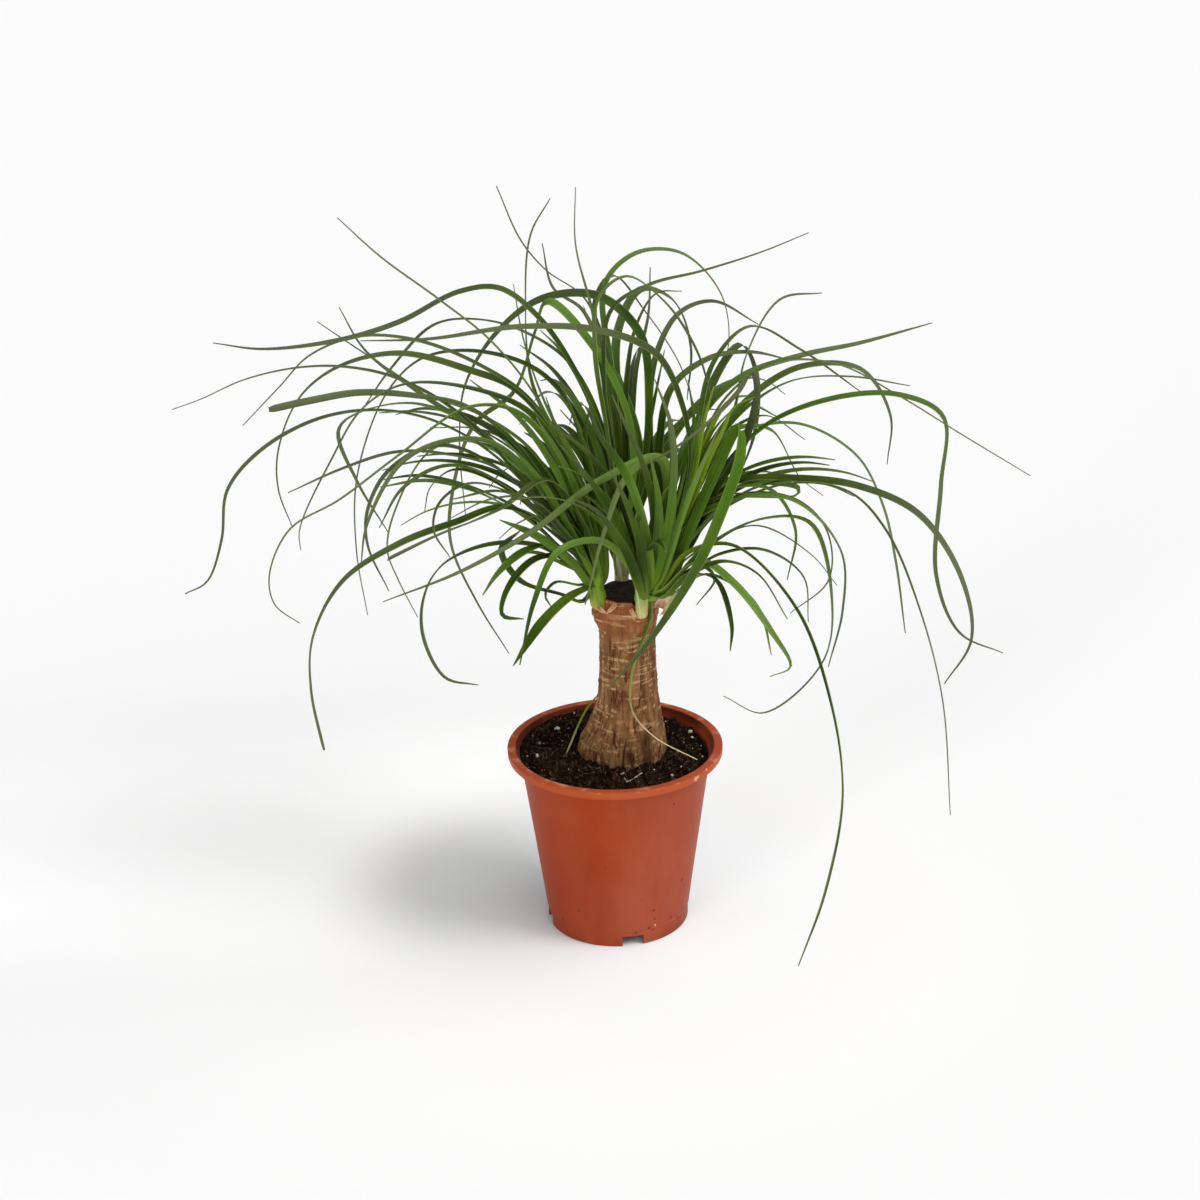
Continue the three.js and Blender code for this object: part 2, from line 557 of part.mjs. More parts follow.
// Points to build a blade at: closer where the midrib turns, further apart where it is straight
function stationsOf(samples) {
  const effort = [0];
  for (let i = 1; i < samples.length; i += 1) {
    const before = samples[Math.max(0, i - 2)].clone().sub(samples[i - 1]);
    const after = samples[i - 1].clone().sub(samples[i]);
    const turn = i > 1 ? THREE.MathUtils.radToDeg(before.angleTo(after)) : 0;
    effort.push(effort[i - 1] + after.length() / STATION_LENGTH + turn / STATION_TURN);
  }
  const whole = effort[effort.length - 1];
  const count = Math.max(5, Math.round(whole));
  const stations = [];
  let j = 0;
  for (let i = 0; i <= count; i += 1) {
    const goal = (whole * i) / count;
    while (j < samples.length - 2 && effort[j + 1] < goal) {
      j += 1;
    }
    const t = THREE.MathUtils.clamp((goal - effort[j]) / (effort[j + 1] - effort[j]), 0, 1);
    stations.push({ point: samples[j].clone().lerp(samples[j + 1], t), t: (j + t) / (samples.length - 1) });
  }
  return stations;
}

// One blade: a slim three-sided section, flat above and keeled below, carried along the midrib
// without twist
function bladeSolid(leaf) {
  const stations = stationsOf(leaf.samples);
  const last = stations.length - 1;
  const first = stations[0].point;
  const end = stations[last].point;
  const side = new THREE.Vector3(first.y - end.y, end.x - first.x, 0);
  if (side.length() < 1) {
    side.set(0, 1, 0);
  }
  const positions = [];
  for (let i = 0; i <= last; i += 1) {
    const ahead = stations[Math.min(last, i + 1)].point;
    const behind = stations[Math.max(0, i - 1)].point;
    const along = ahead.clone().sub(behind).normalize();
    side.addScaledVector(along, -side.dot(along)).normalize();
    const up = along.clone().cross(side);
    const half = halfWidth(leaf.width, stations[i].t);
    const keel = BLADE_THICKNESS + BLADE_KEEL * half;
    const { point } = stations[i];
    positions.push(...point.clone().addScaledVector(side, half));
    positions.push(...point.clone().addScaledVector(side, -half));
    positions.push(...point.clone().addScaledVector(up, -keel));
  }
  const faces = [0, 2, 1];
  for (let i = 0; i < last; i += 1) {
    for (let k = 0; k < 3; k += 1) {
      const a = 3 * i + k;
      const b = 3 * i + ((k + 1) % 3);
      faces.push(a, b, a + 3, b, b + 3, a + 3);
    }
  }
  faces.push(3 * last, 3 * last + 1, 3 * last + 2);
  const geometry = new THREE.BufferGeometry();
  geometry.setAttribute('position', new THREE.BufferAttribute(new Float32Array(positions), 3));
  geometry.setIndex(faces);
  return solidOf(geometry);
}

function headSolid(head, leaves) {
  const blades = leaves.filter((leaf) => leaf.head === head).map(bladeSolid);
  return mainBody(wasm.Manifold.union([solidOf(shootGeometry(head, 0)), ...blades]));
}

// The plant in its pot
function addPiece(group, name, solid, colour, roughness) {
  const material = new THREE.MeshStandardMaterial({ color: colour, roughness, metalness: 0 });
  const mesh = new THREE.Mesh(geometryOf(solid), material);
  mesh.name = name;
  group.add(mesh);
}

const leaves = allLeaves();
const palm = new THREE.Group();
addPiece(palm, 'pot', potSolid(), 0xa8482a, 0.55);
addPiece(palm, 'soil', soilSolid(), 0x2b211a, 0.95);
addPiece(palm, 'trunk', trunkSolid(), 0x9a6f4c, 0.9);
addPiece(palm, 'cut_seal', sealSolid(), 0x1d1714, 0.6);
for (const head of Object.keys(HEADS)) {
  addPiece(palm, `head_${head}`, headSolid(head, leaves), HEADS[head].colour, 0.5);
}

export default palm;
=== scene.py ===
"""A potted ponytail palm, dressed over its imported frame.

Metres, +Z up. The origin is the centre of the pot's foot; +X is the photograph's right and +Y runs away
from its viewer. Leaf rows are in millimetres and in pixels of the 1200 x 1200 photograph.
"""
import math
import random

import bmesh
import bpy
import numpy as np
from mathutils import Matrix, Vector, noise


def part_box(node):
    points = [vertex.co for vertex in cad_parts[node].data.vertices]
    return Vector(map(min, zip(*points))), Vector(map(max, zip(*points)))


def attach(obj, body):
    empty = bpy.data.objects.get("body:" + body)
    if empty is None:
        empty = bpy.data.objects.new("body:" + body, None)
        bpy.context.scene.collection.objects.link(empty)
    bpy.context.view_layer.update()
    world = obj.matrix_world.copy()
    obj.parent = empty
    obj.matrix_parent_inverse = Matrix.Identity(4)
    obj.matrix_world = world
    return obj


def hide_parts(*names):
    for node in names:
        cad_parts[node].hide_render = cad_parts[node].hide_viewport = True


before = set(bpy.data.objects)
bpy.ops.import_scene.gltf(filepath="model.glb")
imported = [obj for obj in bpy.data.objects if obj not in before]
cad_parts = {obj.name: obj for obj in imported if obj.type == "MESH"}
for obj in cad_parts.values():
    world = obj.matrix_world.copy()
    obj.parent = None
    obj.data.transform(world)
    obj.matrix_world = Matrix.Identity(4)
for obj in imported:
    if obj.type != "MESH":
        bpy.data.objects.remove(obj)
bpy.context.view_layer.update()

MM = 0.001
rng = random.Random(12)
# Vector noise takes its offsets from the clock unless it has a seed
noise.seed_set(12)

# The photograph's view: its focal length in pixels, its camera's place in millimetres, pitch and roll
PHOTO_FOCAL = 2800
PHOTO_WIDTH = 1200
PHOTO_EYE = (-6.4, -1402.0, 796.5)
PHOTO_PITCH = math.radians(23.25)
PHOTO_ROLL = math.radians(1.32)
SENSOR = 36.0
# About how many millimetres a pixel spans at the plant
PIXEL_SIZE = 0.55
# A sight line is followed to a surface in steps. Each corrects its depth by a share of the height that it
# is off the surface
SIGHT_STEPS = 12
SIGHT_GAIN = 2.2

# Pot: its height and its rim's radius are those of the frame's pot
_, POT_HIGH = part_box("pot")
POT_HEIGHT = POT_HIGH[2]
RIM_RADIUS = POT_HIGH[1]
RIM_INNER_RADIUS = RIM_RADIUS - 5 * MM
RIM_DEPTH = 4.2 * MM
WALL_TOP_RADIUS = RIM_RADIUS - 6.6 * MM
WALL_THICKNESS = 1.2 * MM
# Inside, the flange ends this far below the top, and the wall begins this far below the skirt
FLANGE_DEPTH = 2.2 * MM
WALL_DROP = 1.5 * MM
# How far out of round the wall is, in three waves and in five
THREE_WAVES = 0.22 * MM
FIVE_WAVES = 0.12 * MM
FOOT_RADIUS = 39.7 * MM
FOOT_HEIGHT = 9 * MM
FOOT_STEP = 0.7 * MM
FOOT_RING_WIDTH = 2.6 * MM
FLOOR_HEIGHT = 7 * MM
FLOOR_THICKNESS = 1.4 * MM
NOTCH_COUNT = 4
NOTCH_FIRST = math.radians(-78.6)
NOTCH_WIDTH = 12 * MM
NOTCH_REACH = 16 * MM
NOTCH_HEIGHT = 6 * MM
DRAIN_COUNT = 6
DRAIN_RADIUS = 4 * MM
DRAIN_RING = 22 * MM

# Soil, in millimetres: its level, its mound round the trunk, and its bank to the wall, which is higher at
# the back and on the left. Mound and bank fade between two distances.
SOIL_LEVEL = 97.5
SOIL_MOUND = 4.5
SOIL_BANK = 3.3
BANK_BACK = 2.2
BANK_LEFT = 2.0
BANK_START = 24
BANK_END = 50
# Bits on the soil keep clear of the trunk's foot, and fibres end before the wall
TRUNK_FOOT_X = 4.4
FOOT_CLEARANCE = 27
FIBRE_CLEARANCE = 25
FIBRE_REACH = 51
# How many clods, chips and loose perlite bits lie about at random, and between which distances
CLOD_COUNT = 240
CHIP_COUNT = 170
PERLITE_COUNT = 40
BIT_REACH = (6, 49)
PERLITE_REACH = (8, 50)

# Trunk, in millimetres: its radius and its axis by height, as the frame's solid has them
TRUNK_LOW, TRUNK_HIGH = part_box("trunk")
TRUNK_BOTTOM = TRUNK_LOW[2] / MM
TRUNK_TOP = TRUNK_HIGH[2] / MM
TRUNK_RADII = (
    (78, 13), (84, 21), (92, 25), (101, 25.6), (109, 24), (117, 21), (127, 18), (138, 16.3),
    (155, 15.5), (172, 15.6), (188, 16.4), (197, 16.2),
)
TRUNK_AXIS = ((78, 4.2), (104, 4.6), (128, 7.8), (197, 8.2))
TRUNK_AXIS_Y = 5
# The bark swells below each crown: by how much, how far round, and how far below the crown
SHOULDER_RISE = 2.4
SHOULDER_REACH = 12
SHOULDER_DROP = 7
# The top of the trunk dips and roughens within this height of the cut
CUT_WEAR = 8

# Heads of leaves: the crown that each grows from, on the rim of the cut
CROWNS = {
    "left": (-6, 3, 193),
    "front": (17, -10, 191),
    "right": (26.5, 7, 192),
    "back": (6, 19.5, 194),
}
# A leaf is rooted in its shoot this far above its crown and this far out from it
ROOT_RISE = 10
ROOT_SPREAD = 4
TIP_WIDTH = 1
# Leaves swing in steps until they clear one another. Near its crown a head's own leaves may touch.
SAMPLE_LENGTH = 4
SWING_STEP = 6
SWINGS = 17
CROWN_REACH = 40
OTHER_HEAD_WEIGHT = 50
# Shares of a turn that spread the hidden leaves and their lengths without a pattern
GOLDEN_TURN = 0.618034
LENGTH_TURN = 0.382

# Leaves read from the photograph, each from its tip inwards: head, depth of the tip along Y, width, and
# the pixels that its midrib passes through
PHOTO_LEAVES = (
    ("front", -29, 4.5, (697,760, 655,738, 632,712, 630,680, 636,655, 650,615)),
    ("front", -176, 8, (798,966, 825,890, 842,790, 828,695, 795,608, 735,547, 690,553, 660,590)),
    ("right", 30, 7, (1030,476, 960,434, 900,397, 835,364, 775,364, 725,400, 690,480)),
    ("left", 0, 5.5, (172,410, 200,400, 245,380, 300,368, 350,368, 402,381, 470,424)),
    ("left", 38, 5.5, (337,218, 380,257, 440,301, 490,341, 534,395, 570,470)),
    ("left", -20, 6, (243,426, 280,387, 310,356, 360,337, 420,342, 485,369, 530,401, 572,470)),
    ("left", -70, 6, (269,410, 310,401, 360,393, 420,397, 466,407, 520,450)),
    ("left", 40, 5.5, (293,528, 279,490, 279,450, 300,398, 340,367, 400,354, 470,371, 515,390, 560,450)),
    ("left", 60, 4.5, (317,322, 360,351, 420,390, 458,412, 520,470)),
    ("left", 84, 4, (339,307, 365,350, 420,393, 500,450)),
    ("left", -30, 6, (185,594, 207,582, 222,540, 228,490, 262,450, 320,419, 380,411, 440,424, 510,470)),
    ("left", -88, 6.5, (301,550, 300,530, 332,460, 362,410, 400,386, 460,387, 530,414, 575,490)),
    ("left", 72, 6, (368,615, 357,550, 358,475, 388,392, 425,358, 485,353, 545,377, 590,450)),
    ("left", -56, 6.5, (288,493, 345,468, 395,453, 440,454, 497,469, 550,520)),
    ("left", -98, 8, (300,623, 275,604, 270,575, 290,530, 340,500, 400,455, 465,409, 510,410, 545,440,
                      580,520)),
    ("left", -76, 8, (325,750, 312,690, 313,640, 343,582, 400,544, 455,523, 505,508, 560,540)),
    ("left", -112, 8.5, (388,560, 440,535, 500,510, 545,480, 585,530)),
    ("left", 24, 5, (418,617, 398,578, 388,550, 396,510, 430,452, 470,442, 530,480)),
    ("left", 52, 4.5, (388,532, 358,483, 339,430, 362,412, 420,405, 490,440)),
    ("left", -44, 5, (389,591, 368,545, 368,510, 390,470, 440,446, 505,475)),
    ("left", -66, 8, (361,565, 367,525, 400,465, 440,443, 490,443, 550,500)),
    ("left", -14, 5, (379,528, 403,488, 450,466, 510,490)),
    ("left", 12, 8, (380,480, 420,476, 480,491, 520,512, 565,555)),
    ("left", -50, 8, (380,487, 430,481, 500,503, 560,548)),
    ("left", 14, 5, (425,511, 431,487, 455,470, 500,484, 555,530)),
    ("left", -28, 5, (450,557, 434,530, 440,503, 470,484, 530,505)),
    ("left", -102, 6, (478,685, 445,677, 424,637, 424,600, 440,568, 485,546, 540,547, 575,570)),
    ("left", -58, 6, (524,619, 503,615, 508,590, 535,560, 570,560)),
    ("left", -36, 5, (507,564, 530,553, 565,566)),
    ("left", -46, 6, (521,530, 501,550, 520,582, 560,595, 585,602)),
    ("left", -78, 7, (513,666, 540,625, 570,597, 590,588)),
    ("left", -24, 5, (552,607, 546,595, 556,583, 580,586)),
    ("left", 30, 7, (438,400, 480,415, 530,450, 570,515)),
    ("left", 66, 7, (430,428, 480,430, 530,455, 578,520)),
    ("left", -90, 7.5, (448,520, 490,500, 530,500, 575,545)),
    ("left", -34, 7.5, (450,500, 500,492, 545,515, 582,560)),
    ("left", 46, 7, (470,380, 520,420, 560,480, 592,560)),
    ("back", 60, 7, (213,343, 262,349, 340,340, 400,322, 460,292, 500,289, 540,320, 575,372, 605,440)),
    ("back", 130, 5, (362,410, 390,370, 435,325, 480,320, 525,333, 570,365, 605,440)),
    ("back", 96, 7, (466,517, 460,440, 466,385, 500,330, 545,298, 600,297, 640,335, 648,400, 640,480)),
    ("back", 40, 6.5, (509,653, 478,603, 452,545, 452,500, 475,425, 515,392, 535,335, 548,302,
                       590,343, 625,410, 632,480)),
    ("back", 90, 4.5, (496,186, 520,240, 545,270, 585,300, 612,380)),
    ("back", 74, 4.5, (550,198, 530,235, 525,310, 532,385, 575,470)),
    ("back", 56, 4.5, (575,187, 575,245, 590,305, 608,380, 620,470)),
    ("back", 118, 4.5, (542,243, 553,288, 583,311, 605,370, 618,460)),
    ("back", 84, 4.5, (513,284, 523,340, 545,405, 590,490)),
    ("back", 70, 8.5, (583,306, 600,348, 625,395, 640,460)),
    ("back", 146, 4.5, (713,385, 728,345, 720,293, 680,253, 635,254, 605,285, 612,370, 622,460)),
    ("back", 104, 5, (809,233, 760,253, 700,272, 650,285, 612,310, 605,380, 618,470)),
    ("back", 64, 8, (712,400, 697,352, 665,303, 627,277, 600,297, 596,350, 608,430)),
    ("back", 136, 4.5, (697,415, 678,362, 645,312, 612,276, 596,300, 606,390)),
    ("back", 124, 6, (687,400, 690,345, 672,300, 640,290, 618,330, 618,420)),
    ("back", 110, 4, (650,267, 648,315, 636,370, 630,460)),
    ("back", 92, 4.5, (682,291, 656,293, 636,325, 626,385, 626,470)),
    ("back", 78, 7.5, (540,330, 560,350, 590,400, 612,470)),
    ("back", 100, 7.5, (520,345, 555,372, 590,430, 612,500)),
    ("back", 112, 8, (600,330, 620,380, 632,440, 632,510)),
    ("back", 82, 8, (665,350, 655,400, 645,450, 634,520)),
    ("back", 126, 7, (560,410, 585,440, 605,490, 616,540)),
    ("right", 128, 5, (758,324, 712,301, 678,314, 655,360, 650,440)),
    ("right", 70, 7, (862,393, 800,350, 750,327, 715,362, 698,430, 682,510)),
    ("right", 96, 6, (822,293, 780,300, 747,355, 735,410, 705,470, 682,540)),
    ("right", 84, 6, (790,360, 750,352, 710,358, 672,388, 660,450, 664,530)),
    ("right", 60, 5.5, (932,323, 860,343, 800,356, 740,378, 700,420, 680,500)),
    ("right", 104, 5, (887,464, 890,415, 860,369, 805,366, 762,388, 715,440, 686,510)),
    ("right", -8, 7, (1003,653, 960,633, 936,575, 940,485, 942,417, 900,396, 840,398, 770,424,
                      715,480, 684,540)),
    ("right", 50, 4, (910,386, 850,377, 790,382, 735,420, 694,490)),
    ("right", 116, 6, (740,475, 755,430, 755,370, 740,345, 712,385, 690,460)),
    ("right", 24, 4.5, (823,496, 800,478, 770,430, 735,430, 700,480)),
    ("right", 44, 5, (805,440, 765,416, 730,432, 696,490)),
    ("right", 40, 7, (905,633, 895,560, 882,505, 855,455, 795,424, 735,438, 695,500)),
    ("right", -56, 7.5, (950,815, 942,700, 920,612, 885,530, 848,492, 790,484, 720,512, 684,555)),
    ("right", -26, 6.5, (944,684, 971,640, 960,575, 918,514, 860,487, 800,479, 740,482, 695,520)),
    ("right", 14, 8, (745,497, 797,494, 798,488, 770,482, 720,484, 690,520)),
    ("right", -70, 7, (828,667, 842,610, 840,550, 795,502, 735,500, 692,540)),
    ("right", 6, 5, (790,613, 828,580, 826,530, 795,500, 740,496, 695,530)),
    ("right", -40, 4.5, (837,586, 810,554, 756,526, 700,550)),
    ("right", -18, 5, (787,580, 795,530, 770,490, 725,492, 690,535)),
    ("right", 90, 7, (780,418, 745,405, 715,430, 692,490)),
    ("right", 76, 7.5, (755,395, 730,400, 705,440, 684,510)),
    ("front", -120, 9, (609,688, 650,640, 695,570, 720,515, 740,455, 738,428, 716,470, 690,530, 664,590)),
    ("front", -92, 7, (724,696, 765,712, 823,660, 831,600, 810,524, 760,520, 705,550, 668,588)),
    ("front", -76, 5, (808,622, 803,577, 765,551, 720,555, 680,580)),
    ("front", -100, 6, (787,619, 758,575, 725,562, 690,575, 664,598)),
    ("front", -112, 8, (770,677, 791,667, 772,632, 735,585, 700,562, 665,590)),
    ("front", -66, 5, (771,655, 760,613, 740,590, 705,575, 672,595)),
    ("front", -86, 6, (730,651, 731,625, 715,580, 690,575, 664,598)),
    ("front", -60, 6, (696,605, 714,578, 698,566, 668,592)),
    ("front", -72, 7.5, (383,602, 460,572, 530,533, 600,481, 660,458, 672,500, 656,580)),
    ("front", -110, 8, (520,665, 535,600, 558,552, 600,541, 632,570, 643,600)),
    ("front", -84, 8.5, (585,605, 603,535, 628,475, 658,458, 668,505, 652,590)),
    ("front", -64, 8.5, (650,455, 658,500, 657,550, 650,600)),
    ("front", -96, 8.5, (610,470, 625,500, 640,545, 645,600)),
    ("front", -52, 8, (360,341, 430,339, 520,327, 600,331, 655,354, 681,405, 688,460, 668,540, 650,595)),
    ("front", -80, 8, (718,430, 700,470, 680,520, 660,580)),
    ("front", -48, 8, (700,415, 690,465, 675,520, 658,580)),
    ("front", -88, 8, (560,445, 590,480, 620,530, 640,590)),
    ("front", -56, 8, (545,420, 590,455, 625,510, 642,580)),
    ("front", -104, 7.5, (575,500, 595,510, 625,550, 643,600)),
    ("front", -70, 8, (655,380, 672,430, 672,500, 655,580)),
)

# Leaves that the photograph hides, by head: how many, their spread round the crown in degrees, how
# steeply they rise, how far their tips hang below the level, and their length
HIDDEN_LEAVES = {
    "left": dict(count=9, spread=(112, 246), rise=(86, 64), hang=(0, 45), length=(105, 185)),
    "front": dict(count=7, spread=(214, 326), rise=(86, 70), hang=(-40, 5), length=(80, 140)),
    "right": dict(count=8, spread=(-20, 84), rise=(86, 68), hang=(-10, 40), length=(90, 150)),
    "back": dict(count=13, spread=(48, 136), rise=(86, 52), hang=(20, 74), length=(130, 208)),
}
HIDDEN_WIDTH = 5.5
# A hidden leaf bends in steps, more towards its tip
ARCH_STEPS = 9
ARCH_BEND = 1.15


def mix(low, high, part):
    return low + (high - low) * part


def smooth(low, high, value):
    """0 below low, 1 above high and an even curve between."""
    part = min(1.0, max(0.0, (value - low) / (high - low)))
    return part * part * (3 - 2 * part)


def along(pairs, value):
    """The value of a curve through (x, y) pairs, straight between them."""
    return float(np.interp(value, [x for x, _ in pairs], [y for _, y in pairs]))


def from_photo(px, py, depth):
    """The point in millimetres, at a depth along Y, that the photograph shows at a pixel."""
    across = (px - PHOTO_WIDTH / 2) / PHOTO_FOCAL
    down = (py - PHOTO_WIDTH / 2) / PHOTO_FOCAL
    u = across * math.cos(PHOTO_ROLL) - down * math.sin(PHOTO_ROLL)
    v = across * math.sin(PHOTO_ROLL) + down * math.cos(PHOTO_ROLL)
    reach = (depth - PHOTO_EYE[1]) / (math.cos(PHOTO_PITCH) - v * math.sin(PHOTO_PITCH))
    drop = reach * (math.sin(PHOTO_PITCH) + v * math.cos(PHOTO_PITCH))
    return np.array((PHOTO_EYE[0] + reach * u, depth, PHOTO_EYE[2] - drop))


class Tint:
    """A number or a colour that varies over a surface; sums on it add the nodes that they stand for."""

    def __init__(self, finish, socket):
        self.finish = finish
        self.socket = socket

    def maths(self, operation, *values):
        return self.finish.node("ShaderNodeMath", {"operation": operation}, *values)

    def __add__(self, other):
        return self.maths("ADD", self, other)

    def __radd__(self, other):
        return self.maths("ADD", other, self)

    def __sub__(self, other):
        return self.maths("SUBTRACT", self, other)

    def __rsub__(self, other):
        return self.maths("SUBTRACT", other, self)

    def __mul__(self, other):
        return self.maths("MULTIPLY", self, other)

    def __rmul__(self, other):
        return self.maths("MULTIPLY", other, self)

    def __pow__(self, other):
        return self.maths("POWER", self, other)

    def sine(self):
        return self.maths("SINE", self)

    def size(self):
        return self.maths("ABSOLUTE", self)

    def most(self, other):
        return self.maths("MAXIMUM", self, other)

    def between(self, low, high):
        """0 below low and 1 above high, smoothly between; low above high turns it round."""
        settings = {"interpolation_type": "SMOOTHSTEP"}
        return self.finish.node("ShaderNodeMapRange", settings, self, low, high, 0.0, 1.0)


class Finish:
    """One material: its Principled shader and the nodes that feed it."""

    def __init__(self, name, **uniform):
        self.material = bpy.data.materials.new(name)
        self.material.use_nodes = True
        self.tree = self.material.node_tree
        self.shader = self.tree.nodes["Principled BSDF"]
        for socket, value in uniform.items():
            self.shader.inputs[socket.replace("_", " ")].default_value = value
        self.place = self.node("ShaderNodeTexCoord", {}, out="Object")

    def node(self, kind, settings, *values, out=0, **named):
        """Adds a node: its settings first, then its sockets in order or by name."""
        made = self.tree.nodes.new(kind)
        for key, value in settings.items():
            if key == "stops":
                self.stops(made.color_ramp, value)
            else:
                setattr(made, key, value)
        sockets = [socket for socket in made.inputs if socket.enabled]
        for socket, value in list(zip(sockets, values)) + [(made.inputs[k], v) for k, v in named.items()]:
            if isinstance(value, Tint):
                self.tree.links.new(value.socket, socket)
            else:
                socket.default_value = value
        outputs = [socket for socket in made.outputs if socket.enabled]
        return Tint(self, made.outputs[out] if isinstance(out, str) else outputs[out])

    @staticmethod
    def stops(ramp, stops):
        while len(ramp.elements) < len(stops):
            ramp.elements.new(1.0)
        for element, (position, colour) in zip(ramp.elements, stops):
            element.position = position
            element.color = (*colour, 1.0)

    def noise(self, scale, detail=3.0, roughness=0.55, stretch=(1, 1, 1)):
        """Noise from 0 to 1 about 0.5, with scale in features a metre and an optional stretch."""
        where = self.place
        if stretch != (1, 1, 1):
            where = self.node("ShaderNodeVectorMath", {"operation": "MULTIPLY"}, where, stretch)
        named = {"Scale": scale, "Detail": detail, "Roughness": roughness}
        return self.node("ShaderNodeTexNoise", {}, where, **named)

    def cells(self, scale):
        """How far each point is from the middle of its cell."""
        return self.node("ShaderNodeTexVoronoi", {}, self.place, Scale=scale, out="Distance")

    def blend(self, part, first, second):
        """First where part is 0 and second where it is 1."""
        colours = [(*c, 1.0) if isinstance(c, tuple) else c for c in (first, second)]
        return self.node("ShaderNodeMix", {"data_type": "RGBA"}, part, *colours)

    def ramp(self, value, *stops):
        return self.node("ShaderNodeValToRGB", {"stops": stops}, value)

    def split(self, place):
        return [self.node("ShaderNodeSeparateXYZ", {}, place, out=axis) for axis in "XYZ"]

    def channels(self, colour):
        names = ("Red", "Green", "Blue")
        return [self.node("ShaderNodeSeparateColor", {}, colour, out=name) for name in names]

    def feed(self, **sockets):
        for name, value in sockets.items():
            self.tree.links.new(value.socket, self.shader.inputs[name.replace("_", " ")])

    def bump(self, height, distance, strength):
        normal = self.node("ShaderNodeBump", {}, Height=height, Distance=distance, Strength=strength)
        self.feed(Normal=normal)


def srgb(red, green, blue):
    """A linear colour from 0-255 screen values."""
    def linear(part):
        part /= 255
        return part / 12.92 if part <= 0.04045 else ((part + 0.055) / 1.055) ** 2.4
    return (linear(red), linear(green), linear(blue))


# Finishes

# Marks on the pot that show in the photograph: the pixel of each and its radius in millimetres
DARK_MARKS = (
    (682, 880, 1.2), (684, 885, 0.9), (684, 909, 1.1), (687, 904, 0.8), (649, 928, 1.1), (653, 930, 0.8),
    (674, 804, 0.9), (677, 916, 0.7), (563, 920, 1.3),
)
PALE_MARKS = (
    (696, 779, 1.3), (698, 777, 0.9), (707, 769, 1.0), (621, 795, 1.0), (603, 795, 0.8), (655, 925, 0.7),
    (712, 764, 0.8),
)
RAGGEDNESS = 2.2 * MM


def on_pot(px, py):
    """Where the sight line of a pixel meets the front of the pot, in metres."""
    depth = -FOOT_RADIUS / MM
    for _ in range(SIGHT_STEPS):
        point = Vector(from_photo(px, py, depth)) * MM
        radius = RIM_RADIUS if point.z > POT_HEIGHT - RIM_DEPTH else wall_radius(point.z)
        depth = -math.sqrt(max(0.0, radius * radius - point.x * point.x)) / MM
    return point


def marks_on_pot(finish, marks):
    """1 on a set of marks and 0 off them, with ragged edges."""
    ragged = (finish.noise(700, 3) - 0.5) * RAGGEDNESS
    total = None
    for px, py, radius in marks:
        settings = {"operation": "DISTANCE"}
        off = finish.node("ShaderNodeVectorMath", settings, finish.place, tuple(on_pot(px, py))) + ragged
        mark = off.between(radius * 1.15 * MM, radius * 0.7 * MM)
        total = total.most(mark) if total else mark
    return total


